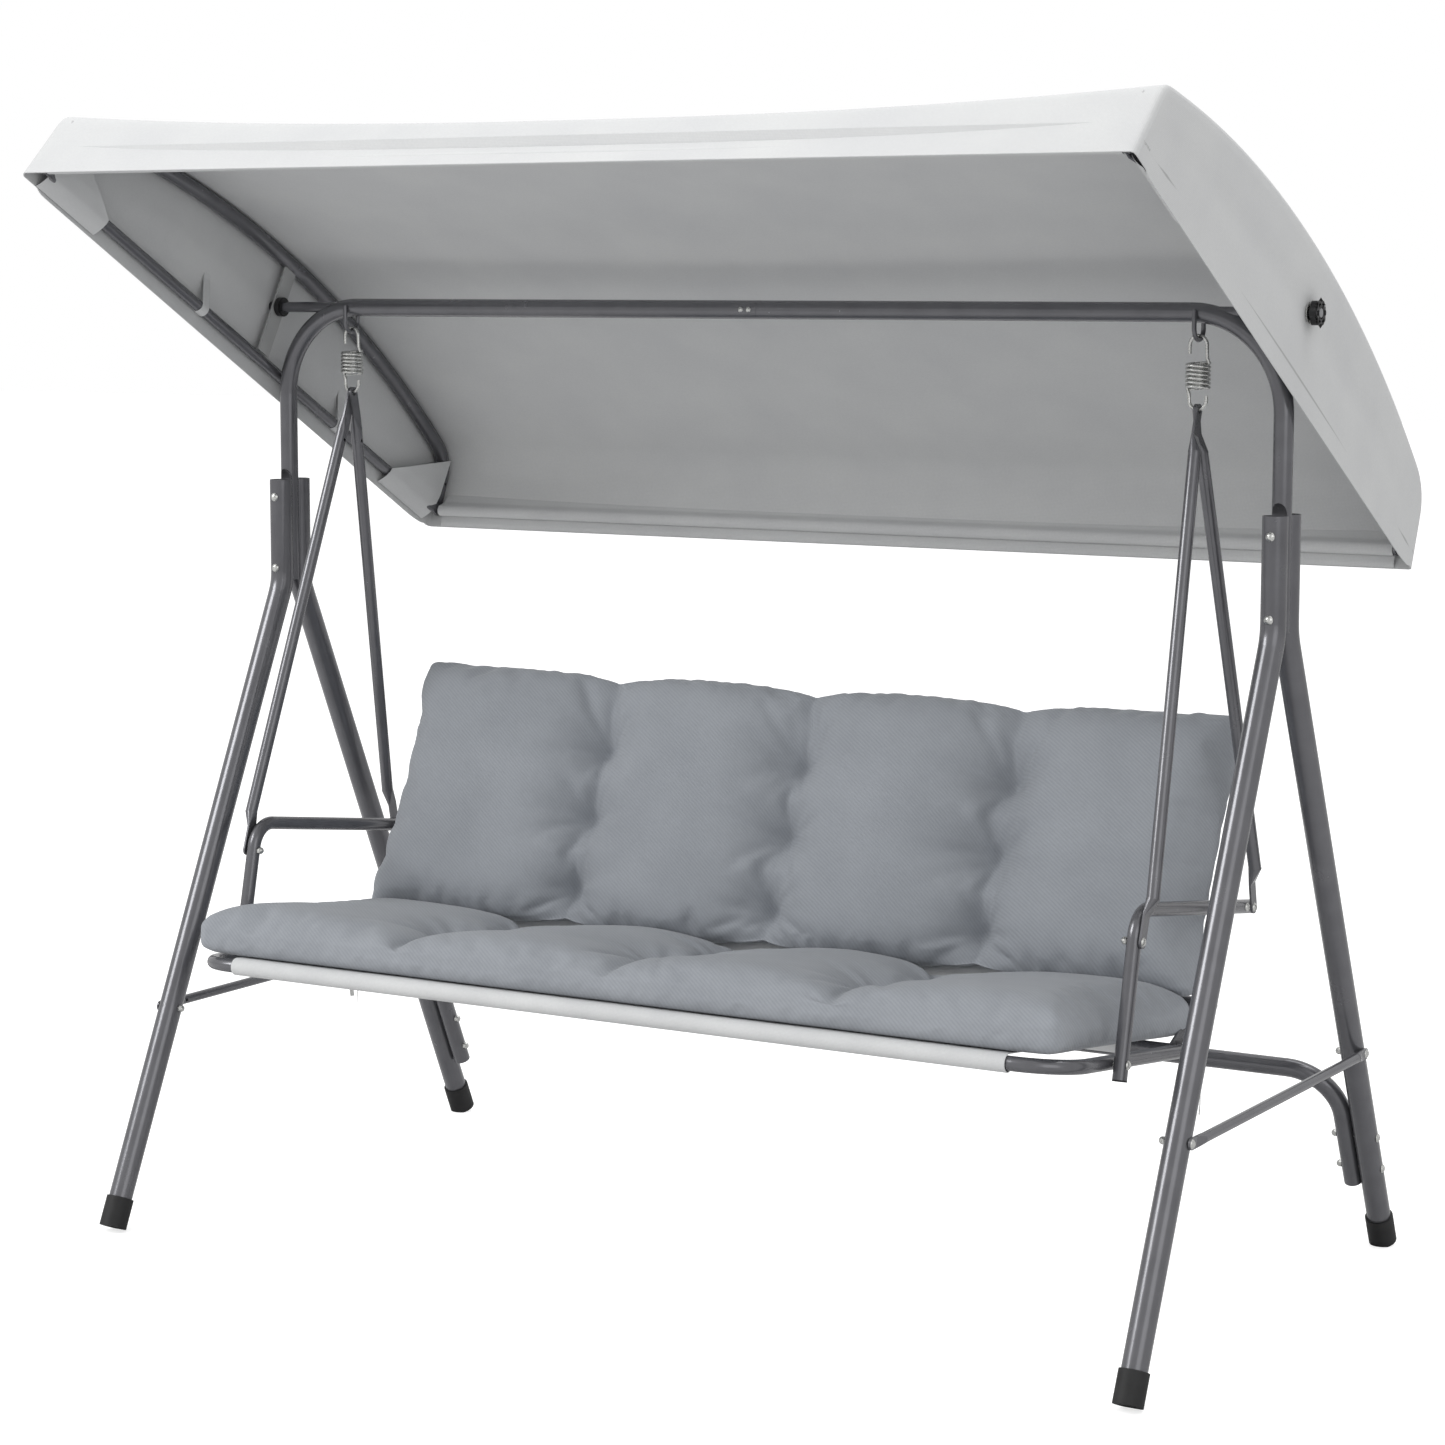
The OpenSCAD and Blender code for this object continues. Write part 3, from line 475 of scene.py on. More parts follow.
def blank(name: str) -> tuple[bpy.types.Material, bpy.types.NodeTree, bpy.types.Node]:
    """Start a material that has only its surface shader.

    Args:
        name: the material's name.

    Returns:
        The material, its node tree and its Principled shader.
    """
    material = bpy.data.materials.new(name)
    material.use_nodes = True
    tree = material.node_tree
    tree.nodes.clear()
    shader = add_node(tree, "ShaderNodeBsdfPrincipled")
    add_node(tree, "ShaderNodeOutputMaterial", {"Surface": shader.outputs["BSDF"]})
    return material, tree, shader


def ramp(tree: bpy.types.NodeTree, value: bpy.types.NodeSocket,
         stops: Sequence[tuple[float, str]]) -> bpy.types.NodeSocket:
    """Map a number to colours.

    Args:
        tree: the material's node tree.
        value: the number's socket.
        stops: a place and an sRGB hex colour for each stop.

    Returns:
        The colour's socket.
    """
    node = add_node(tree, "ShaderNodeValToRGB", {"Fac": value})
    stops = sorted(stops)
    elements = node.color_ramp.elements
    while len(elements) < len(stops):
        elements.new(0.5)
    for element, (place, colour) in zip(elements, stops):
        element.position = place
    for element, (place, colour) in zip(elements, stops):
        element.color = linear(colour)
    return node.outputs["Color"]


@dataclass(frozen=True)
class PowderCoat:
    """Baked polyester powder on steel tube: a deep grey film with a fine orange-peel and small specks."""

    name: str = "powder_coated_steel"
    dark: str = "#66666a"
    light: str = "#6c6c70"
    roughness: float = 0.26
    metallic: float = 0.55

    def build(self) -> bpy.types.Material:
        """Make the material."""
        material, tree, shader = blank(self.name)
        where = add_node(tree, "ShaderNodeTexCoord").outputs["Object"]
        # Slow drift of the film's thickness, some 40 mm long.
        drift = add_node(tree, "ShaderNodeTexNoise", {"Vector": where, "Scale": 25.0, "Detail": 3.0})
        # Orange-peel: ripples about 2 mm apart.
        peel = add_node(tree, "ShaderNodeTexNoise", {"Vector": where, "Scale": 500.0, "Detail": 2.0})
        tree.links.new(ramp(tree, drift.outputs["Fac"], [(0.35, self.dark), (0.65, self.light)]),
                       shader.inputs["Base Color"])
        rough = add_node(tree, "ShaderNodeMapRange", {"Value": drift.outputs["Fac"], "From Min": 0.3,
                         "From Max": 0.7, "To Min": self.roughness - 0.01, "To Max": self.roughness + 0.015})
        tree.links.new(rough.outputs["Result"], shader.inputs["Roughness"])
        bump = add_node(tree, "ShaderNodeBump", {"Height": peel.outputs["Fac"], "Strength": 0.05,
                                                 "Distance": 0.0002})
        tree.links.new(bump.outputs["Normal"], shader.inputs["Normal"])
        shader.inputs["Metallic"].default_value = self.metallic
        shader.inputs["Coat Weight"].default_value = 0.35
        shader.inputs["Coat Roughness"].default_value = 0.12
        return material


@dataclass(frozen=True)
class ZincPlate:
    """Bright zinc on drawn wire, bolts and rivets: silver with faint drawing marks."""

    name: str = "bright_zinc_plate"
    dark: str = "#b9bab8"
    light: str = "#dededb"
    roughness: float = 0.24

    def build(self) -> bpy.types.Material:
        """Make the material."""
        material, tree, shader = blank(self.name)
        where = add_node(tree, "ShaderNodeTexCoord").outputs["Object"]
        # Crystals and drawing marks about 1.5 mm across.
        grain = add_node(tree, "ShaderNodeTexNoise", {"Vector": where, "Scale": 650.0, "Detail": 3.0})
        tree.links.new(ramp(tree, grain.outputs["Fac"], [(0.3, self.dark), (0.7, self.light)]),
                       shader.inputs["Base Color"])
        rough = add_node(tree, "ShaderNodeMapRange",
                         {"Value": grain.outputs["Fac"], "To Min": self.roughness - 0.05,
                         "To Max": self.roughness + 0.1})
        tree.links.new(rough.outputs["Result"], shader.inputs["Roughness"])
        bump = add_node(tree, "ShaderNodeBump", {"Height": grain.outputs["Fac"], "Strength": 0.15,
                                                 "Distance": 0.0002})
        tree.links.new(bump.outputs["Normal"], shader.inputs["Normal"])
        shader.inputs["Metallic"].default_value = 1.0
        return material


@dataclass(frozen=True)
class Moulded:
    """Moulded rubber or nylon: near black, with a fine spark-eroded grain."""

    name: str = "moulded_black"
    dark: str = "#161617"
    light: str = "#232325"
    roughness: float = 0.5
    grain_mm: float = 0.9

    def build(self) -> bpy.types.Material:
        """Make the material."""
        material, tree, shader = blank(self.name)
        where = add_node(tree, "ShaderNodeTexCoord").outputs["Object"]
        grain = add_node(tree, "ShaderNodeTexNoise",
                         {"Vector": where, "Scale": 1000 / self.grain_mm, "Detail": 2.0})
        cloud = add_node(tree, "ShaderNodeTexNoise", {"Vector": where, "Scale": 60.0, "Detail": 2.0})
        tree.links.new(ramp(tree, cloud.outputs["Fac"], [(0.35, self.dark), (0.65, self.light)]),
                       shader.inputs["Base Color"])
        bump = add_node(tree, "ShaderNodeBump", {"Height": grain.outputs["Fac"], "Strength": 0.25,
                                                 "Distance": 0.0003})
        tree.links.new(bump.outputs["Normal"], shader.inputs["Normal"])
        rough = add_node(tree, "ShaderNodeMapRange",
                         {"Value": cloud.outputs["Fac"], "To Min": self.roughness - 0.06,
                         "To Max": self.roughness + 0.08})
        tree.links.new(rough.outputs["Result"], shader.inputs["Roughness"])
        return material


class Weave(Enum):
    """How a cloth's threads cross."""

    PLAIN = "plain"
    TWILL = "twill"


@dataclass(frozen=True)
class Cloth:
    """Woven polyester: matt, with a thread pattern, slow shade drift, and darker sewn seams.

    The seam attribute holds each vertex's distance from a seam in metres, and is far off where there is none.
    """

    name: str
    dark: str
    light: str
    seam: str
    weave: Weave
    pitch_mm: float
    use_uv: bool
    roughness: float = 0.85
    sheen: float = 0.15
    bump: float = 0.25
    seam_half_mm: float = 0.9

    def build(self) -> bpy.types.Material:
        """Make the material."""
        material, tree, shader = blank(self.name)
        coords = add_node(tree, "ShaderNodeTexCoord")
        where = coords.outputs["UV" if self.use_uv else "Object"]
        drift = add_node(tree, "ShaderNodeTexNoise",
                         {"Vector": where, "Scale": 7.0, "Detail": 4.0, "Roughness": 0.55})
        slub = add_node(tree, "ShaderNodeTexNoise", {"Vector": where, "Scale": 260.0, "Detail": 2.0})
        # One wave per thread pitch: a wave texture repeats 20 / (2 pi) times in a unit at scale 1.
        scale = 1000 / self.pitch_mm * 2 * math.pi / 20
        if self.weave is Weave.TWILL:
            warp = add_node(tree, "ShaderNodeTexWave",
                            {"Vector": where, "Scale": scale * 0.71, "Distortion": 0.15,
                            "Detail": 0.0}, wave_type="BANDS", bands_direction="DIAGONAL")
            threads = warp.outputs["Fac"]
        else:
            warp = add_node(tree, "ShaderNodeTexWave", {"Vector": where, "Scale": scale, "Distortion": 0.1,
                            "Detail": 0.0}, wave_type="BANDS", bands_direction="X")
            weft = add_node(tree, "ShaderNodeTexWave", {"Vector": where, "Scale": scale, "Distortion": 0.1,
                            "Detail": 0.0}, wave_type="BANDS", bands_direction="Y")
            both = add_node(tree, "ShaderNodeMath", {0: warp.outputs["Fac"], 1: weft.outputs["Fac"]},
                            operation="MULTIPLY")
            threads = both.outputs["Value"]
        seam = add_node(tree, "ShaderNodeAttribute", attribute_name="seam")
        near = add_node(tree, "ShaderNodeMath", {0: seam.outputs["Fac"]}, operation="ABSOLUTE")
        line = add_node(tree, "ShaderNodeMapRange",
                        {"Value": near.outputs["Value"], "From Min": self.seam_half_mm / 1000,
                        "From Max": 2.2 * self.seam_half_mm / 1000, "To Min": 1.0, "To Max": 0.0})
        body = ramp(tree, drift.outputs["Fac"], [(0.3, self.dark), (0.7, self.light)])
        shade = add_node(tree, "ShaderNodeMapRange", {"Value": threads, "To Min": 0.93, "To Max": 1.03})
        flecks = add_node(tree, "ShaderNodeMapRange",
                          {"Value": slub.outputs["Fac"], "To Min": 0.95, "To Max": 1.05})
        tone = add_node(tree, "ShaderNodeMath", {0: shade.outputs["Result"], 1: flecks.outputs["Result"]},
                        operation="MULTIPLY")
        toned = add_node(tree, "ShaderNodeVectorMath", {0: body}, operation="SCALE")
        tree.links.new(tone.outputs["Value"], toned.inputs["Scale"])
        mix = add_node(tree, "ShaderNodeMix", data_type="RGBA")
        tree.links.new(line.outputs["Result"], mix.inputs["Factor"])
        tree.links.new(toned.outputs["Vector"], mix.inputs[6])
        mix.inputs[7].default_value = linear(self.seam)
        tree.links.new(mix.outputs[2], shader.inputs["Base Color"])
        sunk = add_node(tree, "ShaderNodeMath", {0: line.outputs["Result"], 1: -3.0}, operation="MULTIPLY")
        height = add_node(tree, "ShaderNodeMath", {0: threads, 1: sunk.outputs["Value"]}, operation="ADD")
        bump = add_node(tree, "ShaderNodeBump", {"Height": height.outputs["Value"], "Strength": self.bump,
                        "Distance": self.pitch_mm * 0.00025})
        tree.links.new(bump.outputs["Normal"], shader.inputs["Normal"])
        rough = add_node(tree, "ShaderNodeMapRange",
                         {"Value": slub.outputs["Fac"], "To Min": self.roughness - 0.05,
                         "To Max": min(1.0, self.roughness + 0.07)})
        tree.links.new(rough.outputs["Result"], shader.inputs["Roughness"])
        shader.inputs["Sheen Weight"].default_value = self.sheen
        shader.inputs["Sheen Roughness"].default_value = 0.5
        shader.inputs["Specular IOR Level"].default_value = 0.25
        return material


class Finishes:
    """All finishes, each made once."""

    def __init__(self) -> None:
        """Build every material."""
        self.coat = PowderCoat().build()
        self.zinc = ZincPlate().build()
        self.rubber = Moulded("moulded_rubber", "#131314", "#1f1f20", 0.6, 1.4).build()
        self.nylon = Moulded("moulded_nylon", "#141415", "#1e1e20", 0.38, 0.9).build()
        self.hub = Moulded("moulded_grey_insert", "#77787a", "#87888a", 0.4, 0.9).build()
        # Cushion cover: solution-dyed polyester twill, ribs drawn 2.6 mm apart so that they show.
        self.cushion = Cloth("cushion_twill", "#95999f", "#9fa3a9", "#6a6e74", Weave.TWILL, 2.6,
                             False).build()
        # Canopy: coated polyester in a plain weave, threads drawn 2.2 mm apart.
        self.canopy = Cloth("canopy_plain_weave", "#cbcccd", "#d1d2d2", "#a9aaaa", Weave.PLAIN, 2.2, True,
                            roughness=0.8, sheen=0.1, bump=0.12, seam_half_mm=1.1).build()
        # Sling: dense mesh cloth, pale grey.
        self.sling = Cloth("sling_webbing", "#d2d3d4", "#dfe0e0", "#b0b0b0", Weave.PLAIN, 1.8, True,
                           bump=0.3).build()
        self.ribbon = Cloth("ribbon_tape", "#e6e6e4", "#f0f0ee", "#cfcfcf", Weave.PLAIN, 1.2, True,
                            bump=0.2).build()

    def dress(self, nodes: dict[str, bpy.types.Object]) -> None:
        """Give each solid that stays visible its finish.

        Args:
            nodes: the frame's own solids by name.
        """
        table = {
            self.zinc: ("bolts", "nuts", "screws", "eyelets"),
            self.rubber: ("rubber_feet", "tube_plugs"),
            self.nylon: ("coupler", "knob"),
            self.cushion: ("cushion",),
            self.sling: ("sling", "ties"),
            self.canopy: ("canopy_cover",),
        }
        for name, obj in nodes.items():
            finish = self.coat
            for material, words in table.items():
                if any(word in name for word in words):
                    finish = material
            if name.startswith("spring"):
                finish = self.zinc
            obj.data.materials.clear()
            obj.data.materials.append(finish)
            if name.startswith("canopy_arch"):
                self.cover_strut(obj)
            LOG.info("dressed %s with %s", name, finish.name)

    def cover_strut(self, obj: bpy.types.Object) -> None:
        """Give the flat strut of a side arch the cloth of the pocket that it is sewn into.

        Args:
            obj: the side arch's solid.
        """
        obj.data.materials.append(self.canopy)
        back = Canopy().matrix().inverted()
        for polygon in obj.data.polygons:
            centre = back @ (obj.matrix_world @ polygon.center)
            if 0.8455 < abs(centre.x) < 0.8505 and abs(centre.y) < 0.0145 and -0.083 < centre.z < 0.062:
                polygon.material_index = 1


def finish_piece(obj: bpy.types.Object, material: bpy.types.Material) -> bpy.types.Object:
    """Give a new piece its material and log its face count.

    Args:
        obj: the new piece.
        material: its finish.

    Returns:
        The piece.
    """
    obj.data.materials.clear()
    obj.data.materials.append(material)
    LOG.info("made %s: %d faces", obj.name, len(obj.data.polygons))
    return obj


# ---- sheets ----------------------------------------------------------------------------


def grid_sheet(name: str, across: int, along: int, place: Callable[[np.ndarray, np.ndarray], np.ndarray],
               uv: Callable[[np.ndarray, np.ndarray], np.ndarray]) -> bpy.types.Object:
    """Make a sheet from a flat grid whose vertices are then laid in space.

    Args:
        name: the piece's name.
        across: faces across.
        along: faces along.
        place: gives the places for grid values i/across and j/along.
        uv: gives the cloth's own flat coordinates in metres for the same values.

    Returns:
        The sheet, with a UV map in metres.
    """
    deselect()
    bpy.ops.mesh.primitive_grid_add(x_subdivisions=across, y_subdivisions=along, size=2)
    obj = newest(name)
    flat = coordinates(obj)
    i, j = (flat[:, 0] + 1) / 2, (flat[:, 1] + 1) / 2
    put(obj, place(i, j))
    layer = obj.data.uv_layers.active or obj.data.uv_layers.new(name="cloth")
    per_vertex = uv(i, j)
    loops = np.zeros(len(obj.data.loops), dtype=np.int64)
    obj.data.loops.foreach_get("vertex_index", loops)
    layer.data.foreach_set("uv", per_vertex[loops].astype(np.float32).reshape(-1))
    return obj


@dataclass
class Canopy:
    """The tilting cover: one curved cloth over two arches, its hem sleeves, corner pockets and straps."""

    front: float = 0.568
    rear: float = 0.531
    drop: float = 0.091
    peak: float = 0.076
    tilt: float = 29.5
    arch_radius: float = 1.835
    half_angle: float = 15.5
    arch_c: float = -0.007
    front_lean: float = 72.7
    rear_lean: float = 84.0
    arch_d: float = 0.024
    hem_drop: float = 0.025
    half_width: float = 0.8634
    cloth: float = 0.0015
    sag: float = 0.024
    edge_round: float = 0.007
    seam_up: float = 0.028
    bar_x: float = 0.8532
    sleeve_half: float = 0.836
    pocket_start: float = 0.0125
    pocket_size: Point = (0.138, 0.120)
    pocket_area: float = 0.0106
    strap_size: Point = (0.016, 0.094)
    strap_area: float = 0.0015
    finishes: Optional[Finishes] = None

    def matrix(self) -> Matrix:
        """Frame of the canopy: X across, Y rearwards along its base, Z up from it."""
        lean = Matrix.Rotation(-math.radians(self.tilt), 4, "X")
        return Matrix.Translation((0, PLAN.shift, PLAN.beam_z)) @ lean

    def arch_path(self) -> FlatPath:
        """The side arch's axis, as the solids have it."""
        foot, heel = (-self.front, -self.drop), (self.rear, -self.drop)
        top = (self.arch_c, self.peak + self.arch_radius * (1 / math.cos(math.radians(self.half_angle)) - 1))
        corner_f = FlatPath.meet(foot, self.front_lean, top, self.half_angle)
        corner_r = FlatPath.meet(heel, 180 - self.rear_lean, top, -self.half_angle)
        return FlatPath([foot, corner_f, top, corner_r, heel], [0.036, self.arch_radius, 0.055], [6, 40, 8])

    def outline(self, out: float) -> np.ndarray:
        """The cover's profile.

        Args:
            out: distance outside the solid cover's inner face.

        Returns:
            Points from the front hem over the top to the rear hem.
        """
        path = self.arch_path().lengthened(self.hem_drop)
        path = FlatPath(path.points, [0.016, self.arch_radius, 0.055], path.steps)
        return path.shifted(self.arch_d / 2 + 0.0003 + out).line()

    def build_cover(self) -> bpy.types.Object:
        """Make the curved cloth with its side panels, all in one sheet."""
        along, side_cols, top_cols = 150, 14, 90
        profile = resample(self.outline(self.cloth / 2), along)
        s = arc_lengths(profile)
        base_front, base_rear = profile[0], profile[-1]
        chord = base_rear - base_front
        unit = chord / np.linalg.norm(chord)
        normal = np.array([-unit[1], unit[0]])
        t = np.clip((profile - base_front) @ unit / np.linalg.norm(chord), 0, 1)
        foot = base_front + t[:, None] * chord
        height = (profile - foot) @ normal
        half = self.half_width
        total = side_cols * 2 + top_cols
        r = self.edge_round
        # The sag: none on the front and rear faces, most just behind the front edge.
        slack = np.interp(s, [0, 0.12, 0.45, 0.8, 1.25, s[-1]], [0.0, 1.0, 0.75, 0.6, 0.35, 0.0])

        def place(i: np.ndarray, j: np.ndarray) -> np.ndarray:
            """Place the points with these shares across and along."""
            col = i * total
            k = np.clip(np.round(j * along).astype(int), 0, along)
            left = col < side_cols
            right = col > total - side_cols
            down = np.where(left, 1 - col / side_cols,
                            np.where(right, (col - total + side_cols) / side_cols, 0.0))
            x = np.clip((col - side_cols) / top_cols, 0, 1) * 2 - 1
            # Columns crowd towards the sides, where the cloth turns over the arch.
            x = np.sign(x) * (1 - (1 - np.abs(x)) ** 1.6)
            px, pv = x * half, np.zeros_like(x)
            edge = half - np.abs(px)
            turn = np.clip(1 - edge / r, 0, 1)
            pv -= r * (1 - np.sqrt(np.clip(1 - turn ** 2, 0, 1)))
            dip = self.sag * slack[k] * (1 - np.abs(x) ** 2.4)
            pv -= dip
            out = np.zeros((len(i), 3))
            out[:, 0] = px
            out[:, 1] = profile[k, 0]
            out[:, 2] = profile[k, 1]
            # The profile's own normal is close to the canopy's up, except on its faces.
            tangent = np.gradient(profile, axis=0)
            tangent /= np.linalg.norm(tangent, axis=1)[:, None]
            nrm = np.stack([-tangent[:, 1], tangent[:, 0]], axis=1)
            out[:, 1] += nrm[k, 0] * pv
            out[:, 2] += nrm[k, 1] * pv
            on_side = down > 0
            # A side panel hangs straight down, a little slack in the middle.
            belly = 0.003 * np.sin(np.pi * np.clip((down - 0.3) / 0.3, 0, 1)) * np.sin(np.pi * t[k])
            sx = np.where(left, -1, 1) * (half - belly)
            corner_y, corner_z = out[:, 1], out[:, 2]
            side_y = corner_y + (foot[k, 0] - profile[k, 0]) * down
            side_z = corner_z + (foot[k, 1] - profile[k, 1]) * down
            out[:, 0] = np.where(on_side, sx, out[:, 0])
            out[:, 1] = np.where(on_side, side_y, out[:, 1])
            out[:, 2] = np.where(on_side, side_z, out[:, 2])
            return out

        def uv(i: np.ndarray, j: np.ndarray) -> np.ndarray:
            """Give the same points on the cloth laid flat."""
            xyz = place(i, j)
            col = i * total
            k = np.clip(np.round(j * along).astype(int), 0, along)
            down = np.where(col < side_cols, 1 - col / side_cols,
                            np.where(col > total - side_cols, (col - total + side_cols) / side_cols, 0.0))
            return np.stack([xyz[:, 0] + np.sign(xyz[:, 0]) * down * height[k], s[k] + 2.0], axis=1)

        obj = grid_sheet("canopy_cloth", total, along, place, uv)
        co = coordinates(obj)
        # Distance from the sewn lines: the hem seams of the faces and of the side panels.
        up_from_base = (co[:, 1:] - base_front) @ normal
        hem = np.abs(up_from_base - self.seam_up)
        on_face = np.where(up_from_base < 0.10, hem, 0.5)
        hem = np.where(np.abs(co[:, 0]) < half - 0.001, on_face, np.abs(up_from_base - 0.022))
        give_attribute(obj, "seam", hem)
        obj.data.transform(self.matrix())
        outwards(obj, 1e-5)
        apply_modifier(obj, "SOLIDIFY", thickness=self.cloth, offset=0.0)
        smooth(obj, 50)
        finish_piece(obj, self.finishes.canopy)
        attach(obj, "canopy")
        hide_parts("canopy_cover")
        return obj

    def rail_sleeve(self, name: str, foot: Point, towards: float, lean: float) -> bpy.types.Object:
        """Make the inner layer of a hem, which holds a rail against the cover's face.

        Args:
            name: the piece's name.
            foot: the rail's axis in the canopy's frame.
            towards: which way is outwards, -1 to the front and 1 to the rear.
            lean: the face's slope in degrees.

        Returns:
            The sleeve.
        """
        a = math.radians(lean)
        up = np.array([-towards * math.cos(a), math.sin(a)])
        out = np.array([towards * abs(math.sin(a)), abs(math.cos(a))])
        centre = np.array(foot, float)
        face = self.arch_d / 2 - 0.0006
        r = 0.0092
        pts = []
        top = centre + up * self.seam_up * 1.1 + out * face
        bottom = centre - up * (self.hem_drop - 0.001) + out * face
        pts.append(top)
        pts.append(centre + up * 0.016 + out * (face - 0.006))
        for q in np.linspace(55, 305, 15):
            b = math.radians(q)
            pts.append(centre + r * (math.cos(b) * up - math.sin(b) * out))
        pts.append(centre - up * 0.019 + out * (face - 0.004))
        pts.append(bottom)
        line = resample(np.array(pts), 36)
        s = arc_lengths(line)
        half = self.sleeve_half

        def place(i: np.ndarray, j: np.ndarray) -> np.ndarray:
            """Place the points with these shares across and along."""
            k = np.clip(np.round(j * 36).astype(int), 0, 36)
            return np.stack([(i * 2 - 1) * half, line[k, 0], line[k, 1]], axis=1)

        def uv(i: np.ndarray, j: np.ndarray) -> np.ndarray:
            """Give the same points on the cloth laid flat."""
            k = np.clip(np.round(j * 36).astype(int), 0, 36)
            return np.stack([(i * 2 - 1) * half, s[k]], axis=1)

        obj = grid_sheet(name, 60, 36, place, uv)
        give_attribute(obj, "seam", np.full(len(obj.data.vertices), 0.5))
        obj.data.transform(self.matrix())
        apply_modifier(obj, "SOLIDIFY", thickness=0.0006, offset=0.0)
        outwards(obj)
        smooth(obj, 60)
        finish_piece(obj, self.finishes.canopy)
        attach(obj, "canopy")
        return obj

    def strip(self, name: str, side: Side, across: int, along: int,
              place: Callable[[np.ndarray, np.ndarray], np.ndarray], size: Point, area: float,
              rests: str) -> bpy.types.Object:
        """Make a small sewn-on cloth piece near one side bar.

        Args:
            name: the piece's name.
            side: which side panel it is sewn to.
            across: faces across.
            along: faces along.
            place: gives its places in the canopy's frame, as on the right side.
            size: its flat width and length in metres.
            area: its flat area in square metres; not used.
            rests: the solid that it lies against; not used.

        Returns:
            The piece.
        """
        def mirrored(i: np.ndarray, j: np.ndarray) -> np.ndarray:
            """Place the points on the side that the piece is sewn to."""
            return place(i, j) * np.array([side.value, 1, 1])

        def uv(i: np.ndarray, j: np.ndarray) -> np.ndarray:
            """Give the same points on the cloth laid flat."""
            return np.stack([i * size[0], j * size[1]], axis=1)

        obj = grid_sheet(name, across, along, mirrored, uv)
        give_attribute(obj, "seam", np.full(len(obj.data.vertices), 0.5))
        obj.data.transform(self.matrix())
        apply_modifier(obj, "SOLIDIFY", thickness=0.0008, offset=0.0)
        outwards(obj)
        smooth(obj, 60)
        finish_piece(obj, self.finishes.canopy)
        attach(obj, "canopy")
        return obj

    def pocket(self, side: Side, rear: bool) -> None:
        """Make a corner pocket, which holds the ends of a side bar and an arch.

        Args:
            side: which side panel.
            rear: at the rear rail, or at the front one.
        """
        start, towards = (self.rear, -1) if rear else (-self.front, 1)
        under = np.array([[0.8610, -0.0222], [0.8560, -0.0190], [0.8480, -0.0120],
                          [0.8420, -0.0040], [0.8405, 0.002]])

        def place(i: np.ndarray, j: np.ndarray) -> np.ndarray:
            """Place the points with these shares across and along."""
            tall = 0.002 + 0.084 * (1 - i)
            low = np.clip(j / 0.4, 0, 1) * (len(under) - 1)
            x = np.interp(low, range(len(under)), under[:, 0])
            z = np.interp(low, range(len(under)), under[:, 1])
            rise = np.clip((j - 0.4) / 0.6, 0, 1) * (tall - 0.002)
            x = x - 0.0037 * np.clip(rise / 0.018, 0, 1)
            y = start + towards * (self.pocket_start + self.pocket_size[0] * i)
            return np.stack([x, y, z + rise - self.drop], axis=1)

        self.strip(f"{'rear' if rear else 'front'}_pocket_{side.word}", side, 20, 24, place,
                   self.pocket_size, self.pocket_area, f"canopy_bar_{side.word}")

    def strap(self, side: Side, number: int, middle: float) -> None:
        """Make a strap loop from the side panel round the side bar.

        Args:
            side: which side panel.
            number: the strap's number from the front.
            middle: its place along the canopy.
        """
        r = 0.0098
        ring = [(self.bar_x + r * math.cos(math.radians(q)), r * math.sin(math.radians(q)))
                for q in range(160, 331, 17)]
        line = resample(np.array([(0.8616, 0.060), (0.8608, 0.050), *ring, (0.8616, -0.0056)]), 32)

        def place(i: np.ndarray, j: np.ndarray) -> np.ndarray:
            """Place the points with these shares across and along."""
            k = np.clip(np.round(j * 32).astype(int), 0, 32)
            return np.stack([line[k, 0], middle + (i - 0.5) * self.strap_size[0], line[k, 1] - self.drop],
                            axis=1)

        self.strip(f"bar_strap_{number}_{side.word}", side, 4, 32, place,
                   self.strap_size, self.strap_area, f"canopy_bar_{side.word}")

    def build(self) -> None:
        """Make every cloth piece of the canopy."""
        self.build_cover()
        for side in Side:
            self.pocket(side, False)
            self.pocket(side, True)
            self.strap(side, 1, -0.160)
            self.strap(side, 2, 0.225)
        self.rail_sleeve("front_rail_sleeve", (-self.front, -self.drop), -1, self.front_lean)
        self.rail_sleeve("rear_rail_sleeve", (self.rear, -self.drop), 1, self.rear_lean)


# ---- cushions --------------------------------------------------------------------------


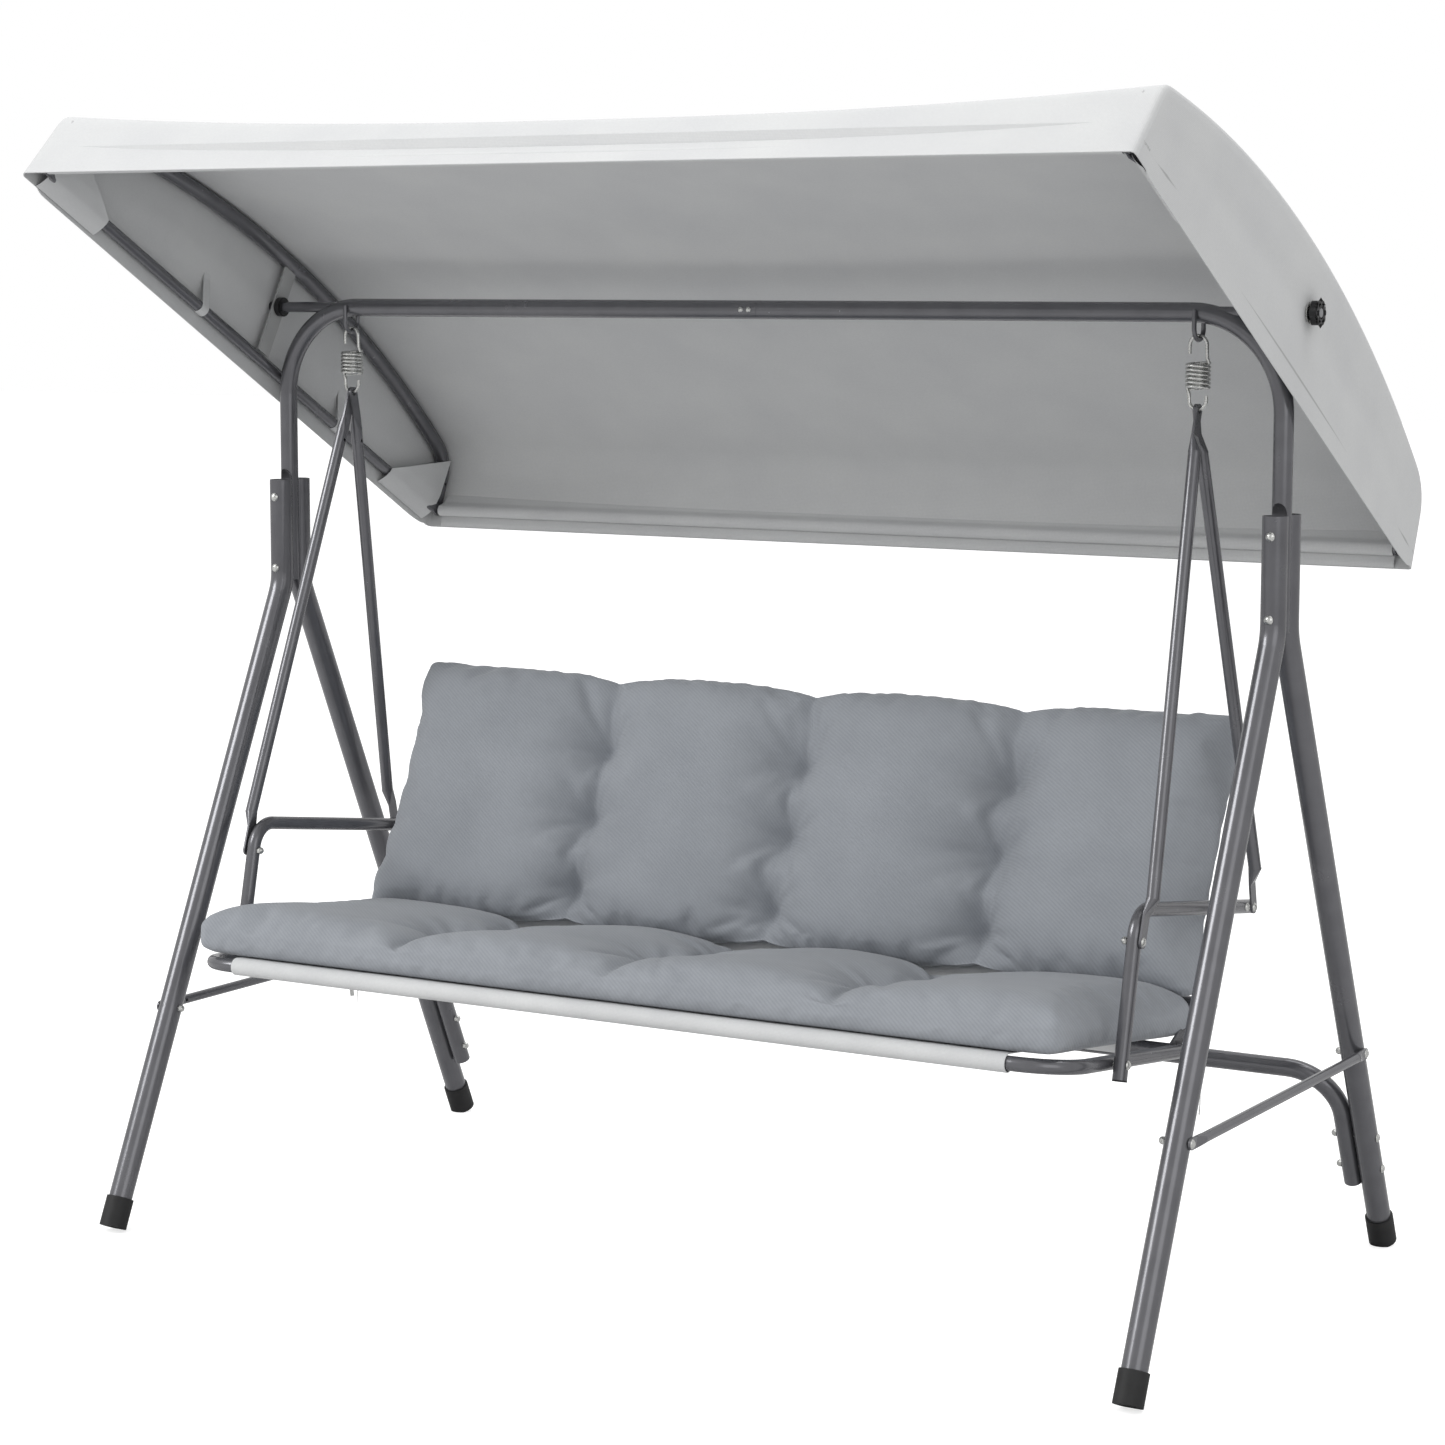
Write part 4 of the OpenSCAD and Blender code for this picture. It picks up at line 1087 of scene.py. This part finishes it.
@dataclass
class Cushion:
    """A long tufted cushion: a slab of wadding in a sewn cover, drawn in at its tufts."""

    name: str
    half: float
    length: float
    thick: float
    columns: tuple[float, ...]
    rows: tuple[float, ...]
    tuft_depth: float
    valley_depth: float
    end_dip: float
    flat_back: bool
    box_front: float = 0.0
    voxel: float = 0.0075
    puff: float = 0.010
    pressure: float = 4.0

    def slab(self) -> bpy.types.Object:
        """Start from a rounded slab, meshed evenly."""
        deselect()
        bpy.ops.mesh.primitive_cube_add(size=1, location=(0, self.length / 2, self.thick / 2))
        obj = newest(self.name)
        obj.scale = (2 * self.half, self.length, self.thick)
        settle(obj)
        apply_modifier(obj, "BEVEL", width=min(0.018, self.thick * 0.3), segments=4)
        apply_modifier(obj, "REMESH", mode="VOXEL", voxel_size=self.voxel)
        return obj

    def tufts(self) -> list[Point]:
        """The tufts' places on the cushion."""
        return [(x, y) for x in self.columns for y in self.rows]

    def shape(self, co: np.ndarray) -> np.ndarray:
        """Crown the slab, draw in its edges, and sink its valleys and tufts.

        Args:
            co: the slab's vertex places.

        Returns:
            The shaped places.
        """
        x, a, h = co[:, 0].copy(), co[:, 1].copy(), co[:, 2].copy()
        half, length, thick = self.half, self.length, self.thick
        mid = thick / 2
        up = (h - mid) / mid
        dx = half - np.abs(x)
        da = np.minimum(a, length - a)
        # Valleys run along the columns, deepest at the tufts.
        valley = np.zeros_like(x)
        funnel = np.zeros_like(x)
        pull = np.zeros_like(x)
        for cx in self.columns:
            d = np.abs(x - cx)
            valley = np.maximum(valley, np.exp(-(d / 0.034)) * 0.72 + 0.28 * np.exp(-(d / 0.12) ** 2))
        for n, (tx, ty) in enumerate(self.tufts()):
            r = np.hypot(x - tx, a - ty)
            angle = np.arctan2(a - ty, x - tx)
            funnel = np.maximum(funnel, np.exp(-(r / 0.040)))
            # Gathers that fan out from each tuft and fade within some 120 mm.
            fan = np.cos(angle * 9 + n * 1.7) * 0.6 + np.cos(angle * 14 + n * 2.9) * 0.4
            pull += fan * np.exp(-(r / 0.065) ** 1.5) * ease(r / 0.022) * 0.0062
        edge_x, edge_a = crown(dx / 0.085), crown(da / 0.085)
        rise = (0.45 + 0.55 * edge_x) * (0.45 + 0.55 * edge_a) if self.box_front == 0 else (
            (0.72 + 0.28 * edge_x) * (0.78 + 0.22 * edge_a))
        belly = 1 - 0.9 * np.clip(valley, 0, 1)
        front = mid * rise + self.puff * edge_x * edge_a * belly
        front = front - self.valley_depth * valley * edge_x ** 0.5 - self.tuft_depth * funnel + pull * edge_a
        back = mid * rise if not self.flat_back else mid * (0.85 + 0.15 * edge_x * edge_a)
        new_h = mid + np.where(up > 0, up * front, up * back)
        # The rim is drawn in between its corners, most where a valley meets it.
        rim = ease(1 - da / 0.05)
        sway = self.end_dip * valley * rim
        new_a = a + np.where(a < length / 2, sway, -sway)
        draw = 0.010 * ease(1 - dx / 0.06) * np.sin(np.pi * np.clip(a / length, 0, 1))
        new_x = x - np.sign(x) * draw
        return np.stack([new_x, new_a, new_h], axis=1)

    def inflate(self, obj: bpy.types.Object, cap: float) -> None:
        """Blow the cover up against its tufts with cloth, then keep each point near where it was.

        Args:
            obj: the shaped cushion.
            cap: the furthest a point may move, in metres.
        """
        start = coordinates(obj)
        pins = obj.vertex_groups.new(name="pins")
        for tx, ty in self.tufts():
            r = np.hypot(start[:, 0] - tx, start[:, 1] - ty)
            for index in np.nonzero(r < 0.012)[0]:
                pins.add([int(index)], 1.0, "REPLACE")
        mid = self.thick / 2
        rim = np.minimum(self.half - np.abs(start[:, 0]), np.minimum(start[:, 1], self.length - start[:, 1]))
        for index in np.nonzero((rim < 0.016) & (np.abs(start[:, 2] - mid) < 0.006))[0]:
            pins.add([int(index)], 0.9, "REPLACE")
        if self.flat_back:
            for index in np.nonzero(start[:, 2] < 0.008)[0]:
                pins.add([int(index)], 1.0, "REPLACE")
        cloth = obj.modifiers.new("Cloth", "CLOTH")
        settings = cloth.settings
        settings.quality = 6
        settings.mass = 0.25
        settings.use_pressure = True
        settings.uniform_pressure_force = self.pressure
        settings.effector_weights.gravity = 0
        settings.vertex_group_mass = "pins"
        settings.shrink_min = -0.045
        settings.tension_stiffness = 18
        settings.compression_stiffness = 12
        settings.shear_stiffness = 8
        settings.bending_stiffness = 0.35
        cloth.collision_settings.use_self_collision = False
        cloth.point_cache.frame_start = 1
        cloth.point_cache.frame_end = 22
        scene = bpy.context.scene
        for n in range(1, 21):
            scene.frame_set(n)
        depsgraph = bpy.context.evaluated_depsgraph_get()
        result = obj.evaluated_get(depsgraph).to_mesh()
        moved = np.zeros(len(result.vertices) * 3)
        result.vertices.foreach_get("co", moved)
        moved = moved.reshape(-1, 3)
        obj.evaluated_get(depsgraph).to_mesh_clear()
        obj.modifiers.remove(cloth)
        scene.frame_set(1)
        step = moved - start
        far = np.linalg.norm(step, axis=1)
        keep = cap * np.tanh(far / cap) / np.maximum(far, 1e-9)
        put(obj, start + step * keep[:, None])
        obj.vertex_groups.clear()
        LOG.info("%s: cloth moved %.1f mm on average, %.1f mm at most", self.name, 1000 * far.mean(),
                 1000 * far.max())

    def build(self, place: Matrix, material: bpy.types.Material, seam_height: float) -> bpy.types.Object:
        """Make the cushion and lay it on the bench.

        Args:
            place: the matrix from the cushion's frame to the swing's.
            material: its cover cloth.
            seam_height: where the rim's seam runs, from the underside.

        Returns:
            The finished cushion.
        """
        obj = self.slab()
        co = coordinates(obj)
        rim = np.minimum(self.half - np.abs(co[:, 0]), np.minimum(co[:, 1], self.length - co[:, 1]))
        seam = np.where(rim < 0.03, np.abs(co[:, 2] - seam_height) + np.clip(rim - 0.02, 0, 1), 0.5)
        put(obj, self.shape(co))
        give_attribute(obj, "seam", seam)
        self.inflate(obj, 0.014)
        apply_modifier(obj, "SMOOTH", factor=0.4, iterations=2)
        apply_modifier(obj, "SUBSURF", levels=1, render_levels=1)
        obj.data.transform(place)
        outwards(obj, 1e-7)
        smooth(obj)
        finish_piece(obj, material)
        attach(obj, "seat")
        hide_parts(self.name.replace("_pad", "_cushion"))
        return obj


# ---- bench cloth, ties, springs and knobs ------------------------------------------------


@dataclass
class Bench:
    """The sling, the cushions and their ties."""

    finishes: Finishes
    sling_half: float = 0.6307
    lift: float = 0.0131

    def sling(self, name: str, node: str, start: Point, start_r: float, end: Point, end_r: float,
              up: Point) -> None:
        """Make a panel sewn round two tubes, with a slight hammock sag.

        Args:
            name: the piece's name.
            node: the solid it stands for.
            start: the first tube's axis in the YZ plane.
            start_r: the radius of the cloth round the first tube.
            end: the second tube's axis.
            end_r: the radius round the second tube.
            up: the side of the tubes that the panel passes.
        """
        p, q, n = np.array(start), np.array(end), np.array(up)
        along = (q - p) / np.linalg.norm(q - p)
        loop_a = [p + start_r * (math.cos(math.radians(d)) * n - math.sin(math.radians(d)) * along)
                  for d in np.linspace(300, 0, 30)]
        loop_b = [q + end_r * (math.cos(math.radians(d)) * n + math.sin(math.radians(d)) * along)
                  for d in np.linspace(0, 300, 26)]
        line = resample(np.array(loop_a + loop_b), 110)
        s = arc_lengths(line)
        half = self.sling_half
        reach = (line - p) @ along
        between = ease((reach - 0.03) / 0.1) * ease((np.linalg.norm(q - p) - 0.03 - reach) / 0.1)
        on_top = (line - p) @ n > 0

        def place(i: np.ndarray, j: np.ndarray) -> np.ndarray:
            """Place the points with these shares across and along."""
            k = np.clip(np.round(j * 110).astype(int), 0, 110)
            x = (i * 2 - 1) * half
            dip = 0.004 * between[k] * on_top[k] * (1 - (x / half) ** 4)
            yz = line[k] - n * dip[:, None]
            return np.stack([x, yz[:, 0], yz[:, 1]], axis=1)

        def uv(i: np.ndarray, j: np.ndarray) -> np.ndarray:
            """Give the same points on the cloth laid flat."""
            k = np.clip(np.round(j * 110).astype(int), 0, 110)
            return np.stack([(i * 2 - 1) * half, s[k]], axis=1)

        obj = grid_sheet(name, 48, 110, place, uv)
        co = coordinates(obj)
        give_attribute(obj, "seam", np.abs(half - np.abs(co[:, 0]) - 0.012))
        apply_modifier(obj, "SOLIDIFY", thickness=0.0012, offset=0.0)
        outwards(obj)
        smooth(obj, 60)
        finish_piece(obj, self.finishes.sling)
        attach(obj, "seat")
        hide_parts(node)

    def tie(self, side: Side) -> bpy.types.Object:
        """Make one pair of ribbon tails with their knot round the side tube.

        Args:
            side: which end of the bench.

        Returns:
            The joined ribbon.
        """
        y, z = PLAN.on_seat(0.412)
        outer = PLAN.bench_r + 0.0015
        pieces = []
        for n, (dy, length, twist) in enumerate(((-0.005, 0.074, 0.5), (0.006, 0.092, -0.7))):
            base_x = side.value * (PLAN.side_x + outer - 0.0006)

            def place(i: np.ndarray, j: np.ndarray, dy: float = dy, length: float = length,
                      twist: float = twist) -> np.ndarray:
                """Place the points of one tail, which turns as it hangs."""
                a = twist * ease(j) * 1.2
                w = (i - 0.5) * 0.008
                x = base_x + side.value * (0.0004 + 0.002 * np.sin(j * 2.6)) * j + w * np.sin(a) * 0.6
                yy = y + dy + w * np.cos(a) + 0.004 * np.sin(j * 3.0) * (1 if dy > 0 else -1)
                return np.stack([x, yy, z - j * length], axis=1)

            def uv(i: np.ndarray, j: np.ndarray, length: float = length) -> np.ndarray:
                """Give the same points on the tail laid flat."""
                return np.stack([(i - 0.5) * 0.008, j * length], axis=1)

            strip = grid_sheet(f"tail_{n}", 4, 24, place, uv)
            give_attribute(strip, "seam", np.full(len(strip.data.vertices), 0.5))
            apply_modifier(strip, "SOLIDIFY", thickness=0.0006, offset=0.0)
            pieces.append(strip)
        deselect()
        bpy.ops.mesh.primitive_torus_add(location=(side.value * PLAN.side_x, y, z),
                                         rotation=(math.radians(90 - PLAN.seat_tilt), 0, 0),
                                         major_radius=PLAN.bench_r + 0.0012, minor_radius=0.0011,
                                         major_segments=40, minor_segments=8)
        ring = newest("tie_ring")
        settle(ring)
        take(ring)
        co = coordinates(ring)
        a = math.radians(PLAN.seat_tilt)
        axis = np.array([0, math.cos(a), -math.sin(a)])
        middle = np.array([side.value * PLAN.side_x, y, z])
        away = (co - middle) @ axis
        put(ring, co + np.outer(away * 3.2, axis))
        pieces.append(ring)
        deselect()
        for piece in pieces:
            piece.select_set(True)
        bpy.context.view_layer.objects.active = pieces[0]
        bpy.ops.object.join()
        obj = newest(f"ribbon_{side.word}")
        smooth(obj, 60)
        give_attribute(obj, "seam", np.full(len(obj.data.vertices), 0.5))
        finish_piece(obj, self.finishes.ribbon)
        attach(obj, "seat")
        return obj

    def build(self) -> None:
        """Make the bench's cloth pieces."""
        seat = Cushion("seat_pad", half=0.7025, length=0.443, thick=0.062, columns=(-0.345, 0.010, 0.360),
                       rows=(0.17, 0.345), tuft_depth=0.032, valley_depth=0.016, end_dip=0.004,
                       flat_back=True, box_front=1.0, puff=0.004)
        seat.build(PLAN.seat_matrix(self.lift) @ Matrix.Translation((0, -0.010, 0)), self.finishes.cushion,
                   0.031)
        a, b = math.radians(PLAN.seat_tilt), math.radians(PLAN.back_recline)
        up_back = (-math.cos(b) * math.sin(a) + math.sin(b) * math.cos(a))
        up_dir = (math.sin(b) * math.sin(a) + math.cos(b) * math.cos(a))
        start = (self.lift + 0.062 + 0.001 - self.lift * up_back) / up_dir
        start -= 0.014
        back = Cushion("back_pad", half=0.7025, length=PLAN.back_len + 0.018 - start, thick=0.060,
                       columns=(-0.340, 0.010, 0.360), rows=tuple(v - start for v in (0.122, 0.236, 0.348)),
                       tuft_depth=0.050, valley_depth=0.020, end_dip=0.014, flat_back=True, puff=0.018)
        back.build(PLAN.back_matrix(start, self.lift), self.finishes.cushion, 0.028)
        top = PLAN.on_back(PLAN.back_len)
        low = PLAN.on_back(0.062)
        fwd = (-math.cos(b), math.sin(b))
        up = (math.sin(a), math.cos(a))
        self.sling("seat_webbing", "seat_sling", PLAN.on_seat(0), 0.0123, PLAN.on_seat(0.375), 0.0123, up)
        self.sling("back_webbing", "back_sling", top, 0.0123, low, 0.0123, fwd)
        ties = [self.tie(side) for side in Side]
        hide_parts("cushion_ties")


@dataclass
class Spring:
    """A tension spring of one wire: a tall hook, a close coil, and a hook below."""

    side: Side
    turns: float = 6.5
    points_per_turn: int = 18

    def wire(self) -> list[tuple[float, float, float]]:
        """The wire's centreline."""
        top, low = PLAN.swing_z, PLAN.swing_z - PLAN.spring_len
        h = PLAN.coil_d / 2 - 0.0025
        coil_top, coil_low = top - 0.036, low + 0.027
        r = PLAN.coil_d / 2
        pts = [(-h, 0, top - h - 0.012), (-h, 0, top - h - 0.005)]
        for k in range(13):
            a = math.pi - math.pi * k / 12
            pts.append((h * math.cos(a), 0, top - h + h * math.sin(a)))
        pts += [(h, 0, top - h - 0.006), (h + 0.0005, 0, coil_top + 0.006)]
        n = int(self.turns * self.points_per_turn)
        for i in range(n + 1):
            a = 2 * math.pi * self.turns * i / n
            pts.append((r * math.cos(a), r * math.sin(a), coil_top - (coil_top - coil_low) * i / n))
        pts += [(-h - 0.0005, 0, coil_low - 0.006), (-h, 0, low + h + 0.002)]
        for k in range(13):
            a = math.pi + math.pi * k / 12
            pts.append((h * math.cos(a), 0, low + h + h * math.sin(a)))
        pts += [(h, 0, low + h + 0.006)]
        x = self.side.value * PLAN.hook_x
        return [(x + p[0], PLAN.shift + p[1], p[2]) for p in pts]

    def build(self, finishes: Finishes) -> bpy.types.Object:
        """Make the spring.

        Args:
            finishes: the materials.

        Returns:
            The spring, which stretches between its two ends.
        """
        deselect()
        curve = bpy.data.curves.new(f"spring_wire_{self.side.word}", "CURVE")
        curve.dimensions = "3D"
        curve.bevel_depth = PLAN.wire_r
        curve.bevel_resolution = 4
        curve.use_fill_caps = True
        wire = self.wire()
        spline = curve.splines.new("POLY")
        spline.points.add(len(wire) - 1)
        for point, place in zip(spline.points, wire):
            point.co = (*place, 1)
        obj = bpy.data.objects.new(f"spring_wire_{self.side.word}", curve)
        bpy.context.scene.collection.objects.link(obj)
        take(obj)
        bpy.ops.object.convert(target="MESH")
        obj = bpy.context.object
        outwards(obj)
        smooth(obj, 60)
        finish_piece(obj, finishes.zinc)
        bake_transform(obj)
        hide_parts(f"spring_{self.side.word}")
        return obj


@dataclass
class Knob:
    """A star knob with six lobes, a waist behind it, and a grey insert in its face."""

    side: Side
    radius: float = 0.018
    lobes: int = 6

    def disc(self, name: str, sides: int, radius: float, depth: float, middle: float) -> bpy.types.Object:
        """Add a round piece on the knob's axis, as for the right side.

        Args:
            name: the piece's name.
            sides: sides round its rim.
            radius: its radius.
            depth: its length along the axis.
            middle: where its middle stands along the axis.

        Returns:
            The piece.
        """
        deselect()
        bpy.ops.mesh.primitive_cylinder_add(vertices=sides, radius=radius, depth=depth,
                                            location=(middle, PLAN.shift, PLAN.beam_z),
                                            rotation=(0, math.pi / 2, 0))
        obj = newest(name)
        settle(obj)
        return obj

    def build(self, finishes: Finishes) -> None:
        """Make the knob and its insert.

        Args:
            finishes: the materials.
        """
        low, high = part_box(f"knob_{self.side.word}")
        outer = high.x if self.side is Side.RIGHT else -low.x
        face = outer - 0.014
        star = self.disc(f"knob_star_{self.side.word}", 96, self.radius, 0.011, face + 0.003 + 0.0055)
        co = coordinates(star)
        angle = np.arctan2(co[:, 2] - PLAN.beam_z, co[:, 1] - PLAN.shift)
        wave = 0.90 + 0.10 * np.cos(self.lobes * angle)
        co[:, 1] = PLAN.shift + (co[:, 1] - PLAN.shift) * wave
        co[:, 2] = PLAN.beam_z + (co[:, 2] - PLAN.beam_z) * wave
        put(star, co)
        take(star)
        bpy.ops.object.mode_set(mode="EDIT")
        bpy.ops.mesh.select_all(action="DESELECT")
        bpy.ops.object.mode_set(mode="OBJECT")
        for polygon in star.data.polygons:
            polygon.select = polygon.normal.x > 0.9
        bpy.ops.object.mode_set(mode="EDIT")
        bpy.ops.mesh.inset(thickness=0.006, depth=0.0)
        bpy.ops.mesh.inset(thickness=0.0006, depth=-0.0012)
        bpy.ops.object.mode_set(mode="OBJECT")
        apply_modifier(star, "BEVEL", width=0.0016, segments=4, limit_method="ANGLE",
                       angle_limit=math.radians(50))
        collar = self.disc("collar", 64, 0.0107, 0.0032, face + 0.0015)
        apply_modifier(collar, "BEVEL", width=0.0006, segments=3, limit_method="ANGLE")
        boss_start = 0.8500
        boss = self.disc("boss", 48, 0.0085, face - boss_start, (face + boss_start) / 2 + 0.0002)
        deselect()
        for piece in (star, collar, boss):
            piece.select_set(True)
        bpy.context.view_layer.objects.active = star
        bpy.ops.object.join()
        star = newest(f"knob_star_{self.side.word}")
        insert = self.disc(f"knob_insert_{self.side.word}", 48, 0.0062, 0.0016, outer - 0.0008)
        apply_modifier(insert, "BEVEL", width=0.0005, segments=3, limit_method="ANGLE")
        for obj, material in ((star, finishes.nylon), (insert, finishes.hub)):
            if self.side is Side.LEFT:
                co = coordinates(obj)
                co[:, 0] *= -1
                put(obj, co)
                obj.data.flip_normals()
            smooth(obj, 40)
            finish_piece(obj, material)
            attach(obj, f"knob_{self.side.word}")
        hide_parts(f"knob_{self.side.word}")


# ---- studio ----------------------------------------------------------------------------


@dataclass
class Studio:
    """The floor, the lights and the camera."""

    azimuth: float = 30.740
    elevation: float = 7.113
    roll: float = 0.054
    place: tuple[float, float, float] = (2.60215, -4.39405, 1.41637)
    lens: float = 88.195

    def floor(self) -> None:
        """A plain pale floor."""
        deselect()
        bpy.ops.mesh.primitive_plane_add(size=60, location=(0, 0, -0.0005))
        obj = newest("studio_floor")
        material, tree, shader = blank("studio_paper")
        shader.inputs["Base Color"].default_value = linear("#d0d0d0")
        shader.inputs["Roughness"].default_value = 0.9
        shader.inputs["Emission Color"].default_value = linear("#ffffff")
        seen = add_node(tree, "ShaderNodeLightPath").outputs["Is Camera Ray"]
        glow = add_node(tree, "ShaderNodeMath", {0: seen, 1: 0.72}, operation="MULTIPLY")
        tree.links.new(glow.outputs["Value"], shader.inputs["Emission Strength"])
        obj.data.materials.append(material)
        settle(obj)

    def lamp(self, name: str, place: tuple[float, float, float], size: float, watts: float) -> None:
        """Add a soft lamp that faces the swing.

        Args:
            name: the lamp's name.
            place: where it stands.
            size: its width in metres.
            watts: its power.
        """
        deselect()
        bpy.ops.object.light_add(type="AREA", location=place)
        lamp = bpy.context.object
        lamp.name = name
        lamp.data.size = size
        lamp.data.energy = watts
        aim = Vector((0, 0, 0.8)) - Vector(place)
        lamp.rotation_euler = aim.to_track_quat("-Z", "Y").to_euler()

    def camera(self) -> None:
        """Set the camera."""
        a, e, r = (math.radians(v) for v in (self.azimuth, self.elevation, self.roll))
        back = Vector((math.sin(a) * math.cos(e), -math.cos(a) * math.cos(e), math.sin(e)))
        right = Vector((math.cos(a), math.sin(a), 0))
        up = back.cross(right)
        x_axis = right * math.cos(r) + up * math.sin(r)
        y_axis = -right * math.sin(r) + up * math.cos(r)
        deselect()
        bpy.ops.object.camera_add()
        camera = bpy.context.object
        camera.name = "camera"
        camera.data.lens = self.lens
        camera.data.sensor_width = 36
        camera.data.clip_end = 200
        matrix = Matrix((x_axis, y_axis, back)).transposed().to_4x4()
        matrix.translation = Vector(self.place)
        camera.matrix_world = matrix
        bpy.context.scene.camera = camera

    def world(self) -> None:
        """Even pale surroundings."""
        world = bpy.data.worlds.new("studio")
        world.use_nodes = True
        tree = world.node_tree
        tree.nodes["Background"].inputs["Color"].default_value = linear("#ffffff")
        seen = add_node(tree, "ShaderNodeLightPath").outputs["Is Camera Ray"]
        power = add_node(tree, "ShaderNodeMapRange", {"Value": seen, "To Min": 0.72, "To Max": 1.0})
        tree.links.new(power.outputs["Result"], tree.nodes["Background"].inputs["Strength"])
        bpy.context.scene.world = world

    def build(self) -> None:
        """Make the camera first, then the rest."""
        self.camera()
        self.world()
        self.floor()
        self.lamp("key", (-4.2, -4.6, 4.6), 3.0, 205)
        self.lamp("fill", (4.8, -3.6, 2.6), 3.5, 40)
        self.lamp("top", (0.5, 1.0, 6.0), 4.0, 130)


def main() -> None:
    """Build the scene in order and report it."""
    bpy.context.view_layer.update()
    bpy.context.scene.view_settings.view_transform = "Standard"
    Studio().build()
    finishes = Finishes()
    finishes.dress(frame["nodes"])
    Canopy(finishes=finishes).build()
    Bench(finishes).build()
    for side in Side:
        Spring(side).build(finishes)
        Knob(side).build(finishes)
    deselect()


if __name__ == "__main__":
    main()
